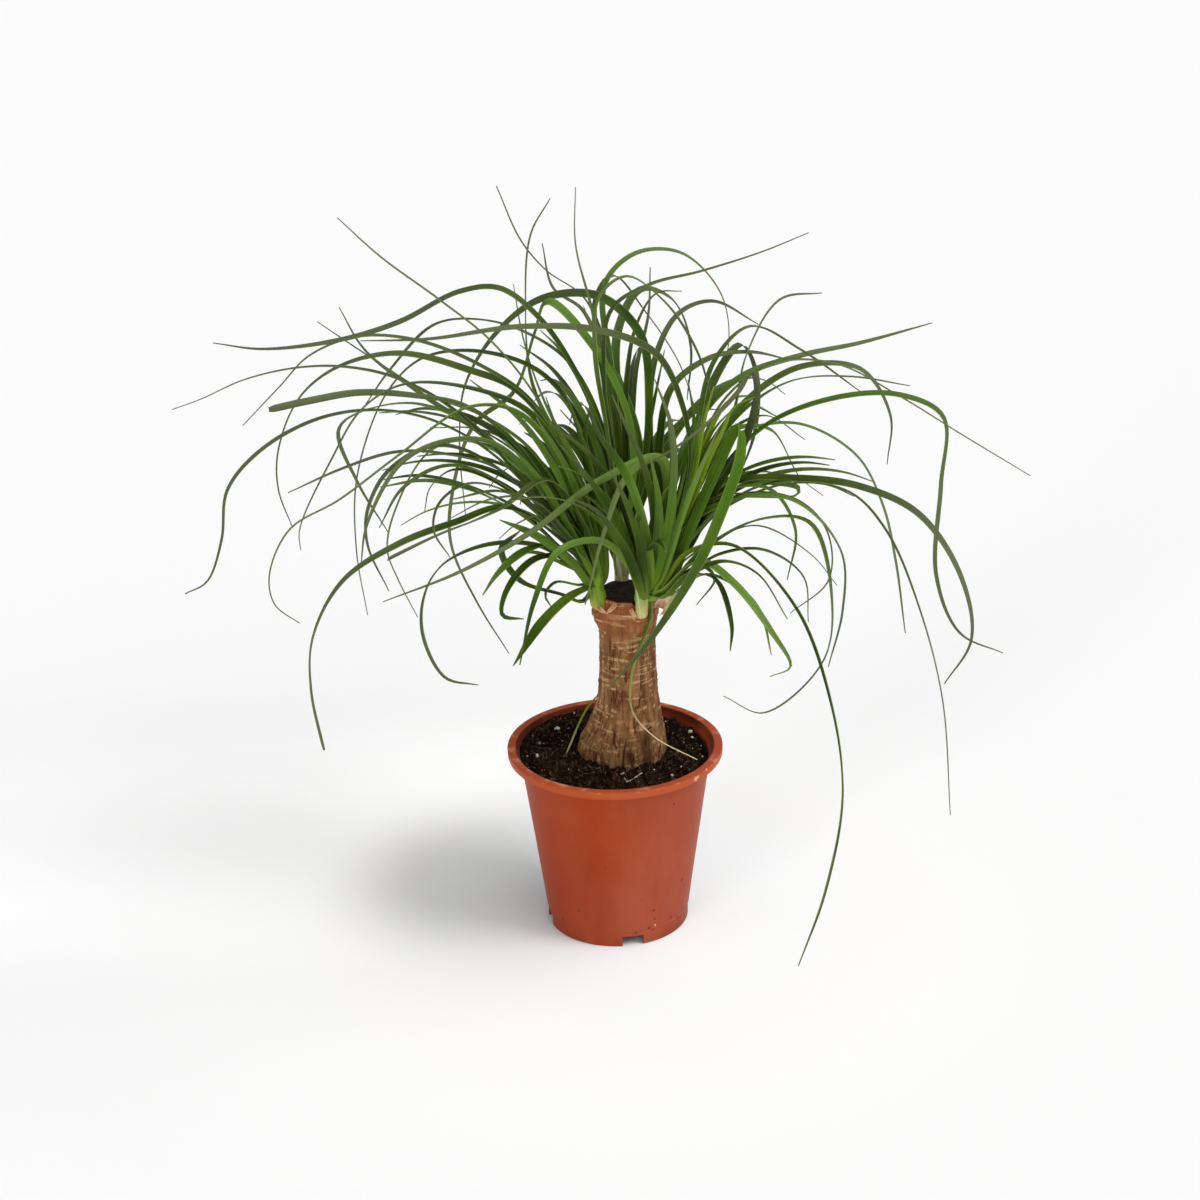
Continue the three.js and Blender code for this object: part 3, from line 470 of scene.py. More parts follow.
def pot_plastic():
    """Moulded terracotta plastic: cloudy, dusty in patches, pale in ragged patches along its top edge;
    painted shade darkens it towards its foot and on its inner wall, and a painted highlight lightens its
    rim.
    """
    finish = Finish("terracotta_plastic", Roughness=0.45, Specular_IOR_Level=0.11, Sheen_Weight=0.04)
    across, away, height = finish.split(finish.place)
    cloud = finish.noise(22, 4)
    clear = finish.blend(cloud.between(0.3, 0.7), srgb(148, 49, 6), srgb(156, 56, 12))
    # Painted shade: the wall is darker towards its foot
    body = finish.blend(height.between(75 * MM, 10 * MM) * 0.5, clear, srgb(138, 41, 1))
    bloom = finish.noise(9, 5, stretch=(1, 1, 0.35)).between(0.48, 0.72)
    dusty = finish.blend(bloom * 0.3, body, srgb(178, 114, 90))
    streak = finish.noise(160, 2, stretch=(1, 1, 0.06)).between(0.6, 0.8)
    drawn = finish.blend(streak * 0.2, dusty, srgb(140, 50, 18))
    speck = finish.cells(150).between(0.17, 0.06) * finish.noise(35, 2).between(0.54, 0.6)
    grimy = finish.blend(speck * 0.85, drawn, srgb(62, 26, 14))
    skirt = POT_HEIGHT - RIM_DEPTH
    lip = height.between(skirt - 0.2 * MM, skirt + 1 * MM)
    # Painted highlight: the rim band is lighter than the wall
    bright = finish.blend(lip * 0.62, grimy, srgb(184, 84, 43))
    # Pale pink in ragged patches along the top edge
    edge = height.between(POT_HEIGHT - 1.4 * MM, POT_HEIGHT - 0.2 * MM)
    edge_patches = finish.noise(75, 4).between(0.5, 0.66)
    pale_top_edge = finish.blend(edge * edge_patches * 0.6, bright, srgb(220, 156, 128))
    # Pale pink at the listed pale marks
    pale_marked = finish.blend(marks_on_pot(finish, PALE_MARKS) * 0.75, pale_top_edge, srgb(228, 170, 146))
    worn = finish.blend(marks_on_pot(finish, DARK_MARKS) * 0.7, pale_marked, srgb(88, 26, 10))
    # Darker in patches round the foot
    foot = height.between(8 * MM, 0.5 * MM) * finish.noise(45, 3).between(0.35, 0.65)
    darker_foot = finish.blend(foot * 0.5, worn, srgb(104, 44, 20))
    reach = (across * across + away * away) ** 0.5
    slope = (WALL_TOP_RADIUS - FOOT_RADIUS - FOOT_STEP) / (skirt - FOOT_HEIGHT)
    depth = (height - FOOT_HEIGHT) * slope + (FOOT_RADIUS + FOOT_STEP) - reach
    within_wall = depth.between(0.5 * MM, 0.9 * MM)
    within_rim = reach.between(RIM_INNER_RADIUS + 0.7 * MM, RIM_INNER_RADIUS + 0.3 * MM)
    inside = within_wall + lip * (within_rim - within_wall)
    # Painted shade: the inner wall and the inside of the rim are darkened, mottled with noise
    inner_shade = finish.blend(finish.noise(60, 4).between(0.3, 0.7), srgb(74, 26, 10), srgb(116, 48, 22))
    finish.feed(Base_Color=finish.blend(inside * 0.85, darker_foot, inner_shade))
    finish.feed(Roughness=0.4 + cloud * 0.14 + bloom * 0.12 + inside * 0.3)
    grain = finish.noise(900, 2) * 0.35 + finish.noise(120, 3) + streak * 0.4
    finish.bump(grain, 0.12 * MM, 0.5)
    return finish.material


def soil_mix():
    """Peaty potting soil: near black where it is damp, with brown crumbs, pale flecks and threads."""
    finish = Finish("peaty_soil", Roughness=0.9, Specular_IOR_Level=0.05)
    crumb = finish.noise(260, 6, 0.72)
    patch = finish.noise(42, 3).between(0.44, 0.62)
    fibre = finish.noise(420, 2, stretch=(1, 0.2, 1)).between(0.6, 0.7)
    dark = finish.ramp(crumb, (0.36, srgb(4, 2, 0)), (0.5, srgb(18, 10, 4)), (0.6, srgb(44, 28, 16)),
                       (0.72, srgb(108, 82, 60)))
    dry = finish.blend(patch * 0.26, dark, srgb(60, 41, 25))
    threaded = finish.blend(fibre * 0.4, dry, srgb(112, 80, 54))
    fleck = finish.cells(380).between(0.16, 0.08) * finish.noise(120, 2).between(0.52, 0.62)
    finish.feed(Base_Color=finish.blend(fleck * 0.8, threaded, srgb(176, 158, 136)))
    finish.feed(Roughness=finish.noise(80, 2).between(0.3, 0.8) * 0.35 + 0.55)
    finish.bump(crumb + finish.noise(900, 3) * 0.5, 1.1 * MM, 1.0)
    return finish.material


def perlite():
    finish = Finish("perlite", Roughness=0.85)
    shade = finish.noise(900, 3)
    grain = finish.blend(shade.between(0.35, 0.7), srgb(176, 164, 142), srgb(236, 232, 222))
    finish.feed(Base_Color=grain)
    finish.bump(shade, 0.25 * MM, 0.8)
    return finish.material


def peat_fibre():
    finish = Finish("peat_fibre", Roughness=0.8, Specular_IOR_Level=0.1)
    shade = finish.noise(70, 2)
    finish.feed(Base_Color=finish.ramp(shade, (0.34, srgb(40, 26, 17)), (0.56, srgb(92, 66, 46)),
                                       (0.74, srgb(150, 122, 96))))
    return finish.material


def wood_chip():
    finish = Finish("wood_chip", Roughness=0.85, Specular_IOR_Level=0.1)
    shade = finish.noise(260, 4, stretch=(1, 1, 0.4))
    finish.feed(Base_Color=finish.ramp(shade, (0.3, srgb(34, 22, 15)), (0.52, srgb(74, 50, 34)),
                                       (0.74, srgb(128, 92, 64))))
    finish.bump(shade, 0.4 * MM, 0.8)
    return finish.material


def twig_bark():
    finish = Finish("twig", Roughness=0.8)
    shade = finish.noise(500, 3, stretch=(1, 1, 0.3))
    weathered = finish.blend(shade.between(0.35, 0.65), srgb(170, 140, 116), srgb(226, 206, 184))
    finish.feed(Base_Color=weathered)
    finish.bump(shade, 0.2 * MM, 0.7)
    return finish.material


def cork_bark():
    """Corky bark: tan on the lips of the leaf scars, partly as a painted highlight; painted shade in its
    cracks, hollows and fissures and in dark streaks; split upwards, red under the crowns, olive below.
    """
    finish = Finish("cork_bark", Roughness=0.85, Specular_IOR_Level=0.12)
    _, _, height = finish.split(finish.place)
    relief = finish.node("ShaderNodeAttribute", {"attribute_name": "bark"}, out="Color")
    crevice_shade, lip, plate = finish.channels(relief)
    long_grain = finish.noise(300, 5, 0.62, stretch=(1, 1, 0.13))
    cross_grain = finish.noise(190, 4, 0.6, stretch=(0.28, 0.28, 2.4))
    mottle = finish.noise(85, 4, 0.6)
    low = height.between(0.136, 0.104)
    warm = finish.ramp(long_grain, (0.34, srgb(92, 60, 33)), (0.46, srgb(129, 89, 54)),
                       (0.56, srgb(157, 115, 74)), (0.7, srgb(192, 152, 107)))
    plated = finish.blend(plate * 0.5, warm, srgb(112, 70, 42))
    ruddy = finish.blend(mottle.between(0.52, 0.66) * 0.4, plated, srgb(122, 68, 40))
    wrinkle = cross_grain.between(0.58, 0.68) * (1 - 0.6 * low)
    creased = finish.blend(wrinkle * 0.5, ruddy, srgb(106, 62, 36))
    crest = cross_grain.between(0.44, 0.36) * (1 - 0.4 * low)
    pale = finish.blend(crest * 0.6, creased, srgb(212, 172, 128))
    # The lips of the scars and round the shoots are pale tan: pale torn tissue with a painted highlight
    pale_lit_lips = finish.blend(lip * 0.58, pale, srgb(216, 176, 130))
    mossy = finish.blend(low * mottle.between(0.4, 0.6) * 0.5, pale_lit_lips, srgb(108, 94, 54))
    young = finish.blend(height.between(0.168, 0.186) * (1 - lip) * 0.5, mossy, srgb(150, 82, 46))
    near_soil = height.between(0.107, 0.1) * mottle.between(0.3, 0.55)
    soiled = finish.blend(near_soil * 0.75, young, srgb(46, 32, 20))
    thin_line = (finish.noise(210, 2, stretch=(1, 1, 0.1)) - 0.5).size().between(0.03, 0.006)
    below_crowns = 1 - 0.75 * height.between(0.164, 0.178)
    fissure = thin_line * finish.noise(90, 2).between(0.44, 0.54) * below_crowns
    # Dark vertical streaks on the upper trunk: streaks in the bark and painted shadow of the leaves
    streak = finish.noise(130, 3, stretch=(1, 1, 0.14)).between(0.56, 0.68) * height.between(0.168, 0.145)
    streaks_and_shadow = finish.blend(streak * 0.5, soiled, srgb(90, 52, 28))
    # Painted shade in the fine fissures, which the bump sinks
    split = finish.blend(fissure * 0.75, streaks_and_shadow, srgb(92, 46, 24))
    # Painted shade: cracks, splits, grooves, the hollow and the cleft are coloured dark
    finish.feed(Base_Color=finish.blend(crevice_shade.between(0.1, 0.8) * 0.9, split, srgb(60, 32, 15)))
    finish.feed(Roughness=0.7 + long_grain * 0.25)
    grain = long_grain * 1.2 + cross_grain * 0.8 + finish.noise(1200, 3) * 0.2
    coarse = finish.noise(260, 4) * low * 0.9
    finish.bump(grain - fissure * 0.6 + coarse - streak * 0.3, 0.8 * MM, 0.85)
    return finish.material


def sealing_wax():
    finish = Finish("sealing_wax", Roughness=0.5, Specular_IOR_Level=0.18)
    skin = finish.noise(240, 5)
    finish.feed(Base_Color=finish.blend(skin.between(0.4, 0.75), srgb(15, 10, 8), srgb(48, 31, 22)))
    finish.feed(Roughness=0.42 + skin * 0.4)
    finish.bump(skin, 0.8 * MM, 0.9)
    return finish.material


def leaf_green():
    """Strap leaf: pale at the root, veined along its length, greyer towards its tip.

    The colour attribute "leaf" holds how far along the leaf a point is, the leaf's tone and its dryness.
    """
    finish = Finish("strap_leaf", Roughness=0.5, Specular_IOR_Level=0.08)
    facts = finish.node("ShaderNodeAttribute", {"attribute_name": "leaf"}, out="Color")
    reach, tone, dryness = finish.channels(facts)
    uv = finish.node("ShaderNodeUVMap", {"uv_map": "UVMap"})
    across, _, _ = finish.split(uv)
    vein = (across * 110).sine() * 0.5 + 0.5
    cloud = finish.noise(26, 3)
    deep = finish.ramp(tone, (0.0, srgb(12, 32, 1)), (0.3, srgb(33, 64, 4)), (0.6, srgb(64, 100, 18)),
                       (0.88, srgb(104, 140, 58)), (1.0, srgb(134, 166, 30)))
    body = finish.blend(cloud.between(0.4, 0.68) * 0.3, deep, srgb(100, 126, 26))
    lined = finish.blend(vein * 0.14, body, srgb(120, 144, 44))
    middle = finish.blend((across - 0.5).size().between(0.07, 0.0) * 0.35, lined, srgb(34, 60, 10))
    margin = finish.blend((across - 0.5).size().between(0.43, 0.5) * 0.35, middle, srgb(146, 164, 92))
    root = finish.blend(reach.between(0.2, 0.0) * 0.75, margin, srgb(128, 156, 48))
    greyed = finish.blend(reach.between(0.34, 0.8) * 0.7, root, srgb(104, 109, 80))
    tip = finish.blend(reach.between(0.8, 1.0) * 0.6, greyed, srgb(88, 88, 66))
    yellow = finish.blend(dryness * reach.between(0.22, 0.5) * 0.8, tip, srgb(150, 156, 78))
    dry = finish.blend(dryness * reach.between(0.55, 0.78), yellow, srgb(222, 204, 158))
    finish.feed(Base_Color=dry)
    finish.feed(Roughness=0.44 + cloud * 0.14 + reach.between(0.7, 1.0) * 0.2)
    finish.bump(vein * 0.6 + cloud, 0.12 * MM, 0.5)
    return finish.material


# Skins of sheaths and flakes: the screen colours of the foot, the top, the ribs and edges, and the spots
SHEATH_COLOURS = {
    "fresh_sheath": ((168, 158, 62), (92, 130, 18), (150, 174, 62), (72, 104, 18)),
    "pale_sheath": ((198, 178, 112), (140, 158, 88), (206, 210, 152), (112, 134, 64)),
    # The withered sheath's top is near white: its own pale colour, lifted further as painted light where
    # it stands in shade
    "withered_sheath": ((206, 150, 116), (250, 218, 186), (252, 236, 210), (184, 128, 100)),
    "mottled_sheath": ((190, 168, 124), (150, 150, 100), (214, 206, 164), (96, 64, 36)),
    "torn_bark": ((168, 112, 72), (206, 158, 114), (222, 182, 138), (140, 84, 52)),
}
SHOOT_SKINS = {
    "left": "fresh_sheath",
    "front": "pale_sheath",
    "right": "pale_sheath",
    "back": "mottled_sheath",
}


def sheath_skin(name, *screen_colours):
    """Clasping leaf base, ribbed up its length: its colour changes from its foot to its top."""
    foot, top, edge, spots = (srgb(*colour) for colour in screen_colours)
    finish = Finish(name, Roughness=0.5, Specular_IOR_Level=0.2)
    facts = finish.node("ShaderNodeAttribute", {"attribute_name": "sheath"}, out="Color")
    rise, rim, _ = finish.channels(facts)
    grain = finish.noise(520, 4, stretch=(1, 1, 0.1))
    ribbed = finish.blend(grain.between(0.4, 0.62) * 0.45, finish.blend(rise, foot, top), edge)
    rimmed = finish.blend(rim * 0.8, ribbed, edge)
    blotch = finish.noise(170, 4).between(0.56, 0.68)
    finish.feed(Base_Color=finish.blend(blotch * 0.5, rimmed, spots))
    finish.feed(Roughness=0.45 + grain * 0.2)
    finish.bump(grain, 0.3 * MM, 0.7)
    return finish.material


# The floor's glow, in metres from the pot. It leaves out the pot's own shadow, which lies left of and
# behind the pot, and what is under its foot.
SHADE_LEFT = 0.07
SHADE_BACK = 0.03
SHADE_REACH = (0.045, 0.11)
FOOT_EDGE = (0.037, 0.043)
# How strongly the glow thins the leaves' shadow far out on the left and close to the pot
GLOW_LEFT = 0.135
GLOW_NEAR = 0.05
# How much green the glow adds to the pot's red light on the floor: all round, and more on the right
GREEN_ROUND = 0.032
GREEN_RIGHT = 0.02
BLUE_TO_GREEN = 1.1


def matt_floor():
    """White floor. A faint glow thins the leaves' wide shadow and greys the red light from the pot."""
    finish = Finish("floor", Roughness=0.9, Specular_IOR_Level=0.0, Emission_Strength=1.0)
    finish.shader.inputs["Base Color"].default_value = (0.93, 0.93, 0.93, 1.0)
    across, away, _ = finish.split(finish.place)
    reach = (across * across + away * away) ** 0.5
    leftward, backward = across + SHADE_LEFT, away - SHADE_BACK
    from_shade = (leftward * leftward + backward * backward * 0.6) ** 0.5
    left = across.between(0.02, -0.1) * away.between(-0.09, 0.05) * away.between(0.3, 0.15)
    wide = left * reach.between(0.6, 0.3) * GLOW_LEFT + reach.between(0.35, 0.15) * GLOW_NEAR
    clear_of_foot = reach.between(*FOOT_EDGE)
    thinned = wide * from_shade.between(*SHADE_REACH) * clear_of_foot
    right = across.between(-0.06, 0.02)
    green = reach.between(0.17, 0.05) * (right * GREEN_RIGHT + GREEN_ROUND) * clear_of_foot
    colour = (thinned, thinned + green, thinned + green * BLUE_TO_GREEN)
    finish.feed(Emission_Color=finish.node("ShaderNodeCombineColor", {}, *colour))
    return finish.material


# Shared making

def finished(name, bm, material, smooth_shading=True, replaces=()):
    """Turns a bmesh into a piece at the origin that rides on the plant."""
    bmesh.ops.recalc_face_normals(bm, faces=bm.faces)
    mesh = bpy.data.meshes.new(name)
    bm.to_mesh(mesh)
    bm.free()
    for polygon in mesh.polygons:
        polygon.use_smooth = smooth_shading
    mesh.materials.append(material)
    piece = bpy.data.objects.new(name, mesh)
    bpy.context.scene.collection.objects.link(piece)
    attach(piece, "root")
    if replaces:
        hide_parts(*replaces)
    return piece


def turned(profile, steps):
    """A closed bmesh: a profile of (radius, height) points from axis to axis, spun round Z."""
    bm = bmesh.new()
    points = [bm.verts.new((radius, 0, height)) for radius, height in profile]
    edges = [bm.edges.new(pair) for pair in zip(points, points[1:])]
    bmesh.ops.spin(bm, geom=points + edges, cent=(0, 0, 0), axis=(0, 0, 1), dvec=(0, 0, 0),
                   angle=math.tau, steps=steps, use_merge=True, use_duplicate=False)
    bmesh.ops.remove_doubles(bm, verts=bm.verts, dist=0.004 * MM)
    bmesh.ops.recalc_face_normals(bm, faces=bm.faces)
    return bm


def rounded(bm, angle, offset, segments):
    """Rounds the edges that turn by more than an angle."""
    sharp = [edge for edge in bm.edges if len(edge.link_faces) == 2 and edge.calc_face_angle() > angle]
    bmesh.ops.bevel(bm, geom=sharp, offset=offset, offset_type="OFFSET", segments=segments, profile=0.5,
                    affect="EDGES", material=-1, clamp_overlap=True)


def cut_away(piece, cutter):
    """Cuts one object out of another and keeps the result in its mesh."""
    cut = piece.modifiers.new("cut", "BOOLEAN")
    cut.operation = "DIFFERENCE"
    cut.solver = "EXACT"
    cut.object = cutter
    bpy.context.view_layer.update()
    result = bpy.data.meshes.new_from_object(piece.evaluated_get(bpy.context.evaluated_depsgraph_get()))
    piece.modifiers.remove(cut)
    old = piece.data
    piece.data = result
    bpy.data.meshes.remove(old)
    bpy.data.objects.remove(cutter)


# Pot

def wall_radius(height):
    part = (height - FOOT_HEIGHT) / (POT_HEIGHT - RIM_DEPTH - FOOT_HEIGHT)
    return mix(FOOT_RADIUS + FOOT_STEP, WALL_TOP_RADIUS, part)


def pot_cutter():
    """Notches in the foot and drain holes in the floor, as one object to cut with."""
    bm = bmesh.new()
    for i in range(NOTCH_COUNT):
        turn = Matrix.Rotation(NOTCH_FIRST + math.tau * i / NOTCH_COUNT, 4, "Z")
        size = Matrix.Diagonal((NOTCH_REACH, NOTCH_WIDTH, 2 * NOTCH_HEIGHT, 1))
        bmesh.ops.create_cube(bm, size=1, matrix=turn @ Matrix.Translation((FOOT_RADIUS, 0, 0)) @ size)
    for i in range(DRAIN_COUNT):
        turn = Matrix.Rotation(math.tau * i / DRAIN_COUNT, 4, "Z")
        place = turn @ Matrix.Translation((DRAIN_RING, 0, FLOOR_HEIGHT + FLOOR_THICKNESS / 2))
        bmesh.ops.create_cone(bm, cap_ends=True, segments=24, radius1=DRAIN_RADIUS, radius2=DRAIN_RADIUS,
                              depth=4 * FLOOR_THICKNESS, matrix=place)
    mesh = bpy.data.meshes.new("pot_cutter")
    bm.to_mesh(mesh)
    bm.free()
    cutter = bpy.data.objects.new("pot_cutter", mesh)
    bpy.context.scene.collection.objects.link(cutter)
    return cutter


def make_pot():
    skirt = POT_HEIGHT - RIM_DEPTH
    floor_top = FLOOR_HEIGHT + FLOOR_THICKNESS
    profile = [
        (0, FLOOR_HEIGHT),
        (FOOT_RADIUS - FOOT_RING_WIDTH - 0.6 * MM, FLOOR_HEIGHT),
        (FOOT_RADIUS - FOOT_RING_WIDTH, 0),
        (FOOT_RADIUS, 0),
        (FOOT_RADIUS + 0.1 * MM, FOOT_HEIGHT - FOOT_STEP),
        (wall_radius(FOOT_HEIGHT), FOOT_HEIGHT),
    ]
    for part in (0.25, 0.5, 0.75):
        height = mix(FOOT_HEIGHT, skirt, part)
        profile.append((wall_radius(height) - 0.12 * MM, height))
    profile += [
        (wall_radius(skirt), skirt),
        (RIM_RADIUS - 0.1 * MM, skirt),
        (RIM_RADIUS, POT_HEIGHT),
        (RIM_INNER_RADIUS, POT_HEIGHT),
        (RIM_INNER_RADIUS - 0.3 * MM, POT_HEIGHT - FLANGE_DEPTH),
        (wall_radius(skirt) - WALL_THICKNESS, skirt - WALL_DROP),
        (wall_radius(floor_top) - WALL_THICKNESS - 1 * MM, floor_top),
        (0, floor_top),
    ]
    bm = turned(profile, 144)
    rounded(bm, math.radians(25), 0.6 * MM, 3)
    for vert in bm.verts:
        angle = math.atan2(vert.co.y, vert.co.x)
        wall = smooth(0.02, 0.06, vert.co.z) * smooth(POT_HEIGHT + 2 * MM, skirt - 6 * MM, vert.co.z)
        lean = THREE_WAVES * math.sin(3 * angle + 1) + FIVE_WAVES * math.sin(5 * angle)
        vert.co.xy *= 1 + (0.3 + 0.7 * wall) * lean / RIM_RADIUS
    pot = finished("nursery_pot", bm, pot_plastic(), replaces=("pot",))
    cut_away(pot, pot_cutter())
    for polygon in pot.data.polygons:
        polygon.use_smooth = True
    pot.data.set_sharp_from_angle(angle=math.radians(40))
    return pot


# Soil

def soil_bank(x, y):
    """How far the soil is banked up towards the pot's wall: most at the back left, least in front."""
    reach = math.hypot(x, y) + 1e-6
    return smooth(BANK_START, BANK_END, reach) * (SOIL_BANK + (BANK_BACK * y - BANK_LEFT * x) / reach)


def soil_height(x, y):
    """Height of the soil's top in millimetres: mounded to the trunk and banked to the wall."""
    from_trunk = math.hypot(x - along(TRUNK_AXIS, SOIL_LEVEL), y - TRUNK_AXIS_Y)
    mound = SOIL_MOUND * (1 - smooth(BANK_START, BANK_END, from_trunk))
    waves = math.sin(x * 0.31 + 1) * math.cos(y * 0.27) + 0.6 * math.sin(x * 0.61 - y * 0.53 + 2)
    return SOIL_LEVEL + mound + soil_bank(x, y) + 1.1 * waves


def crumbly_height(x, y):
    """The soil's top with its clods and crumbs."""
    place = Vector((x, y, 0))
    clod = abs(noise.noise(place * 0.13)) * 3.6
    lump = noise.noise(place * 0.37 + Vector((9, 4, 0))) * 1.8
    crumb = noise.noise(place * 1.0) * 0.9
    return soil_height(x, y) - 1.0 + clod + lump + crumb


def make_soil():
    bottom = FLOOR_HEIGHT + FLOOR_THICKNESS + 0.3 * MM
    level = SOIL_LEVEL * MM
    wall = wall_radius(level) - WALL_THICKNESS - 0.45 * MM
    low = wall_radius(bottom) - WALL_THICKNESS - 1.5 * MM
    skirt = POT_HEIGHT - RIM_DEPTH
    widening = (
        (level, 0),
        (skirt - WALL_DROP, wall_radius(skirt) - WALL_THICKNESS - 0.4 * MM - wall),
        (POT_HEIGHT - FLANGE_DEPTH, RIM_INNER_RADIUS - 0.8 * MM - wall),
    )
    rings, steps = 64, 180
    profile = [(0, bottom), (low, bottom), (wall, level - 4 * MM)]
    profile += [(wall * math.sqrt(1 - i / rings), level) for i in range(rings + 1)]
    bm = turned(profile, steps)
    for vert in bm.verts:
        if vert.co.z > level - 1 * MM:
            x, y = vert.co.x / MM, vert.co.y / MM
            reach = vert.co.xy.length
            edge = smooth(wall - 2 * MM, wall, reach)
            vert.co.z = mix(crumbly_height(x, y), SOIL_LEVEL + soil_bank(x, y), edge) * MM
            wider = 1 + along(widening, vert.co.z) / wall * smooth(wall * 0.7, wall, reach)
            vert.co.x *= wider
            vert.co.y *= wider
    return finished("peaty_soil", bm, soil_mix(), replaces=("soil",))


def on_soil(reach_low, reach_high):
    """A random place on the soil between two distances from the pot's middle, clear of the trunk."""
    while True:
        angle = rng.uniform(0, math.tau)
        reach = math.sqrt(rng.uniform(reach_low ** 2, reach_high ** 2))
        x, y = reach * math.cos(angle), reach * math.sin(angle)
        if math.hypot(x - TRUNK_FOOT_X, y - TRUNK_AXIS_Y) > FOOT_CLEARANCE:
            return x, y


def add_bit(bm, x, y, size, flat, sink, subdivisions=1):
    """One rough lump, squashed and turned at random, lying on the soil."""
    turn = Matrix.Rotation(rng.uniform(0, math.tau), 4, (rng.random(), rng.random(), rng.random() + 0.1))
    shape = Matrix.Diagonal((size, size * rng.uniform(0.6, 1), size * flat, 1))
    place = Matrix.Translation((x, y, crumbly_height(x, y) - sink * size))
    scaled = Matrix.Scale(MM, 4) @ place @ turn @ shape
    made = bmesh.ops.create_icosphere(bm, subdivisions=subdivisions, radius=1, matrix=scaled)
    for vert in made["verts"]:
        vert.co += noise.noise_vector(vert.co * 900) * size * 0.3 * MM


def make_clods(material):
    bm = bmesh.new()
    for _ in range(CLOD_COUNT):
        x, y = on_soil(*BIT_REACH)
        add_bit(bm, x, y, rng.uniform(0.8, 2.6), rng.uniform(0.5, 0.9), 0.3)
    return finished("soil_clods", bm, material, smooth_shading=False)


def make_chips():
    """Splinters of bark and peat that stick out of the soil."""
    bm = bmesh.new()
    for _ in range(CHIP_COUNT):
        x, y = on_soil(*BIT_REACH)
        length = rng.uniform(1.6, 4.2)
        heading = Matrix.Rotation(rng.uniform(0, math.tau), 4, "Z")
        turn = heading @ Matrix.Rotation(rng.uniform(-0.5, 0.5), 4, "Y")
        shape = Matrix.Diagonal((length, rng.uniform(0.5, 1.1), rng.uniform(0.35, 0.7), 1))
        place = Matrix.Translation((x, y, crumbly_height(x, y) + 0.3))
        made = bmesh.ops.create_cube(bm, size=1, matrix=Matrix.Scale(MM, 4) @ place @ turn @ shape)
        for vert in made["verts"]:
            vert.co += noise.noise_vector(vert.co * 1300) * 0.4 * MM
    return finished("bark_chips", bm, wood_chip(), smooth_shading=False)


# Perlite that shows in the photograph: its pixels and its size in millimetres
PERLITE_SEEN = (
    (557, 730, 2.0), (568, 731, 1.3), (539, 742, 1.1), (544, 743, 0.9), (537, 756, 1.3), (558, 713, 1.1),
    (575, 714, 0.9), (538, 729, 0.8), (543, 719, 0.8), (579, 771, 0.9), (576, 734, 0.8), (690, 733, 1.4),
    (689, 726, 1.0), (692, 738, 1.0), (678, 752, 1.1), (681, 766, 1.0), (688, 768, 1.1), (702, 758, 0.9),
    (624, 775, 0.9), (640, 775, 1.1), (630, 783, 1.0), (672, 777, 1.0), (582, 782, 0.9), (594, 788, 1.0),
)


def seen_on_soil(px, py):
    """Where the sight line of a pixel meets the soil, in millimetres."""
    depth = 0.0
    for _ in range(SIGHT_STEPS):
        point = from_photo(px, py, depth)
        depth += (point[2] - soil_height(point[0], point[1])) * SIGHT_GAIN
    return point[0], point[1]


def make_perlite():
    bm = bmesh.new()
    for px, py, size in PERLITE_SEEN:
        x, y = seen_on_soil(px, py)
        add_bit(bm, x, y, size, 0.8, 0.1, subdivisions=2)
    for _ in range(PERLITE_COUNT):
        x, y = on_soil(*PERLITE_REACH)
        add_bit(bm, x, y, rng.uniform(0.3, 0.75), 0.8, 0.15)
    return finished("perlite_bits", bm, perlite(), smooth_shading=False)


def finished_wires(name, paths, radius, material):
    """Thin round fibres through lists of points in metres, thinning to both ends, as one mesh."""
    curve = bpy.data.curves.new(name, "CURVE")
    curve.dimensions = "3D"
    curve.bevel_depth = radius
    curve.bevel_resolution = 1
    curve.use_fill_caps = True
    for path in paths:
        spline = curve.splines.new("POLY")
        spline.points.add(len(path) - 1)
        for i, (point, spot) in enumerate(zip(path, spline.points)):
            part = i / (len(path) - 1)
            spot.co = (*point, 1.0)
            spot.radius = 0.45 + 0.55 * math.sin(math.pi * mix(0.15, 0.9, part))
    wire = bpy.data.objects.new(name, curve)
    bpy.context.scene.collection.objects.link(wire)
    bpy.context.view_layer.update()
    mesh = bpy.data.meshes.new_from_object(wire.evaluated_get(bpy.context.evaluated_depsgraph_get()))
    bpy.data.objects.remove(wire)
    bm = bmesh.new()
    bm.from_mesh(mesh)
    bpy.data.meshes.remove(mesh)
    return finished(name, bm, material)


# Fibres, in millimetres: the steps they are drawn in, and where they start
FIBRE_STEP = 1.1
FIBRE_START = (8, 47)


def make_fibres(name, count, radius, material):
    """Fibres that lie curled on the soil."""
    paths = []
    for _ in range(count):
        x, y = on_soil(*FIBRE_START)
        heading = rng.uniform(0, math.tau)
        turn = rng.uniform(-0.5, 0.5)
        lift = rng.uniform(0.2, 1.2)
        path = []
        steps = rng.randint(5, 9)
        for i in range(steps):
            arch = math.sin(math.pi * i / (steps - 1))
            clear = math.hypot(x - TRUNK_FOOT_X, y - TRUNK_AXIS_Y) > FIBRE_CLEARANCE
            if clear and math.hypot(x, y) < FIBRE_REACH:
                path.append(Vector((x, y, crumbly_height(x, y) + lift * arch)) * MM)
            x += FIBRE_STEP * math.cos(heading)
            y += FIBRE_STEP * math.sin(heading)
            heading += turn
        if len(path) > 2:
            paths.append(path)
    return finished_wires(name, paths, radius, material)


# The twig in front of the trunk, by the pixels that it shows at
TWIG_SEEN = ((621, 775), (627, 777), (632, 779), (637, 776), (642, 774))


